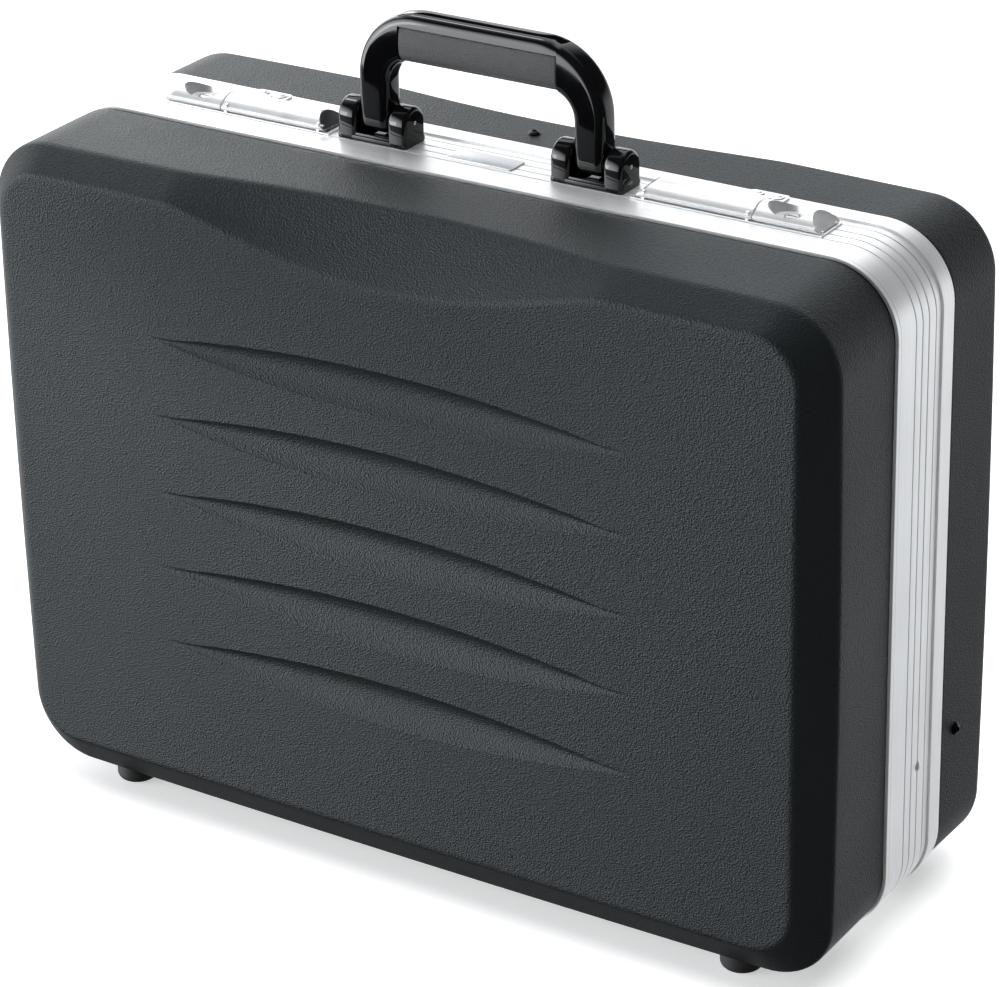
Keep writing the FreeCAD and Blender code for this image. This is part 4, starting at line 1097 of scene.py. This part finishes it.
def make_backdrop():
    """Pale wall round the floor, and a sheet below it, that neither light nor shade the case."""
    segments = 64
    verts = []
    for z in WALL_Z:
        for k in range(segments):
            angle = 2 * math.pi * k / segments
            verts.append((WALL_RADIUS * math.cos(angle), WALL_RADIUS * math.sin(angle), z))
    faces = strip_faces(2, segments, False, True) + [tuple(range(segments))]
    wall = mesh_object("studio_backdrop", verts, faces)
    s = Shader("backdrop_paper", PAPER, 0.6, Emission_Color=WHITE, Emission_Strength=1.0)
    s.vary_colour(s.noise(1.5, 2.0, 0.5), 0.99, 1.01)
    wall.data.materials.append(s.material)
    seen_only_by(wall, "camera")


def soft_light(name, place, target, width, height, watts, mirrored=True):
    """Soft box; an unmirrored one lights the scene without showing in reflections."""
    data = bpy.data.lights.new(name, "AREA")
    data.shape = "RECTANGLE"
    data.size = width
    data.size_y = height
    data.energy = watts
    made = bpy.data.objects.new(name, data)
    made.location = place
    made.rotation_euler = (Vector(target) - Vector(place)).to_track_quat("-Z", "Y").to_euler()
    made.visible_glossy = mirrored
    SCENE.collection.objects.link(made)


def reflected_only(card):
    """Makes a dark card that shows in reflections and nowhere else."""
    material = bpy.data.materials.new(card.name)
    material.use_nodes = True
    shader = material.node_tree.nodes["Principled BSDF"]
    shader.inputs["Base Color"].default_value = (0, 0, 0, 1)
    shader.inputs["Specular IOR Level"].default_value = 0.0
    card.data.materials.append(material)
    seen_only_by(card, "glossy")


def flag(name, start, direction, distance, half_long, half_wide):
    """Dark card square to a direction, at a distance from the point it shades."""
    away = Vector(direction).normalized()
    centre = Vector(start) + away * distance
    across = (Vector((1, 0, 0)) - away * away.x).normalized()
    up = away.cross(across)
    signs = ((-1, -1), (1, -1), (1, 1), (-1, 1))
    corners = [centre + across * a * half_long + up * b * half_wide for a, b in signs]
    reflected_only(mesh_object(name, corners, [(0, 1, 2, 3)]))


make_floor()
make_backdrop()
soft_light("back_left_box", (-2.0, 1.35, 1.15), (0, 0, 0.3), 1.6, 1.2, 12)
soft_light("front_left_box", (-1.5, -1.5, 0.45), (0, 0, 0.3), 0.9, 0.7, 8)
soft_light("top_box", (0.6, -0.2, 3.2), (0, 0, 0), 2.4, 2.4, 84, False)
soft_light("crease_box", (-1.25, 0.42, 2.3), (0, 0, 0.3), 0.35, 0.8, 5)
GRIP_FRONT = (0.0, HANDLE_Y - BOW_HALF_DEPTH, BOW_TOP - 12.0)
flag("handle_top_flag", (0.0, HANDLE_Y, BOW_TOP), (-0.5, 0.756, 0.42), 300.0, 130.0, 36.0)
flag("handle_front_flag", GRIP_FRONT, (-0.5, -0.756, -0.42), 300.0, 130.0, 30.0)

world = bpy.data.worlds.new("studio")
world.use_nodes = True
sky = world.node_tree


def glow(centre, start, end, low, high):
    """Radiance that rises from low to high as a direction turns from start to end towards the centre."""
    direction = sky.nodes.new("ShaderNodeTexCoord")
    dot = sky.nodes.new("ShaderNodeVectorMath")
    dot.operation = "DOT_PRODUCT"
    dot.inputs[1].default_value = Vector(centre).normalized()
    sky.links.new(direction.outputs["Generated"], dot.inputs[0])
    fade = sky.nodes.new("ShaderNodeMapRange")
    fade.interpolation_type = "SMOOTHSTEP"
    for socket, value in (("From Min", start), ("From Max", end), ("To Min", low), ("To Max", high)):
        fade.inputs[socket].default_value = value
    sky.links.new(dot.outputs["Value"], fade.inputs["Value"])
    return fade.outputs["Result"]


total = sky.nodes.new("ShaderNodeMath")
notched = sky.nodes.new("ShaderNodeMath")
floor_level = sky.nodes.new("ShaderNodeMath")
floor_level.operation = "MAXIMUM"
floor_level.inputs[1].default_value = 0.03
behind = glow((-0.30, 0.90, 0.30), 0.0, 0.85, 0.04, 1.45)
front_left = glow((-0.80, -0.60, -0.05), 0.73, 0.97, 0.0, 5.2)
dim_patch = glow((0.45, 0.72, 0.55), 0.76, 0.98, 0.0, -1.45)
sky.links.new(behind, total.inputs[0])
sky.links.new(front_left, total.inputs[1])
sky.links.new(total.outputs["Value"], notched.inputs[0])
sky.links.new(dim_patch, notched.inputs[1])
sky.links.new(notched.outputs["Value"], floor_level.inputs[0])
sky.links.new(floor_level.outputs["Value"], sky.nodes["Background"].inputs["Strength"])
sky.nodes["Background"].inputs["Color"].default_value = (0.94, 0.97, 1.0, 1)
SCENE.world = world
SCENE.view_settings.view_transform = "Standard"

camera_data = bpy.data.cameras.new("camera")
camera_data.sensor_width = 36.0
camera_data.lens = 142.10
camera = bpy.data.objects.new("camera", camera_data)
camera.location = (0.9887, -1.5028, 1.0392)
camera.rotation_euler = Euler([math.radians(a) for a in (64.5544, 1.1939, 32.5832)])
SCENE.collection.objects.link(camera)
SCENE.camera = camera
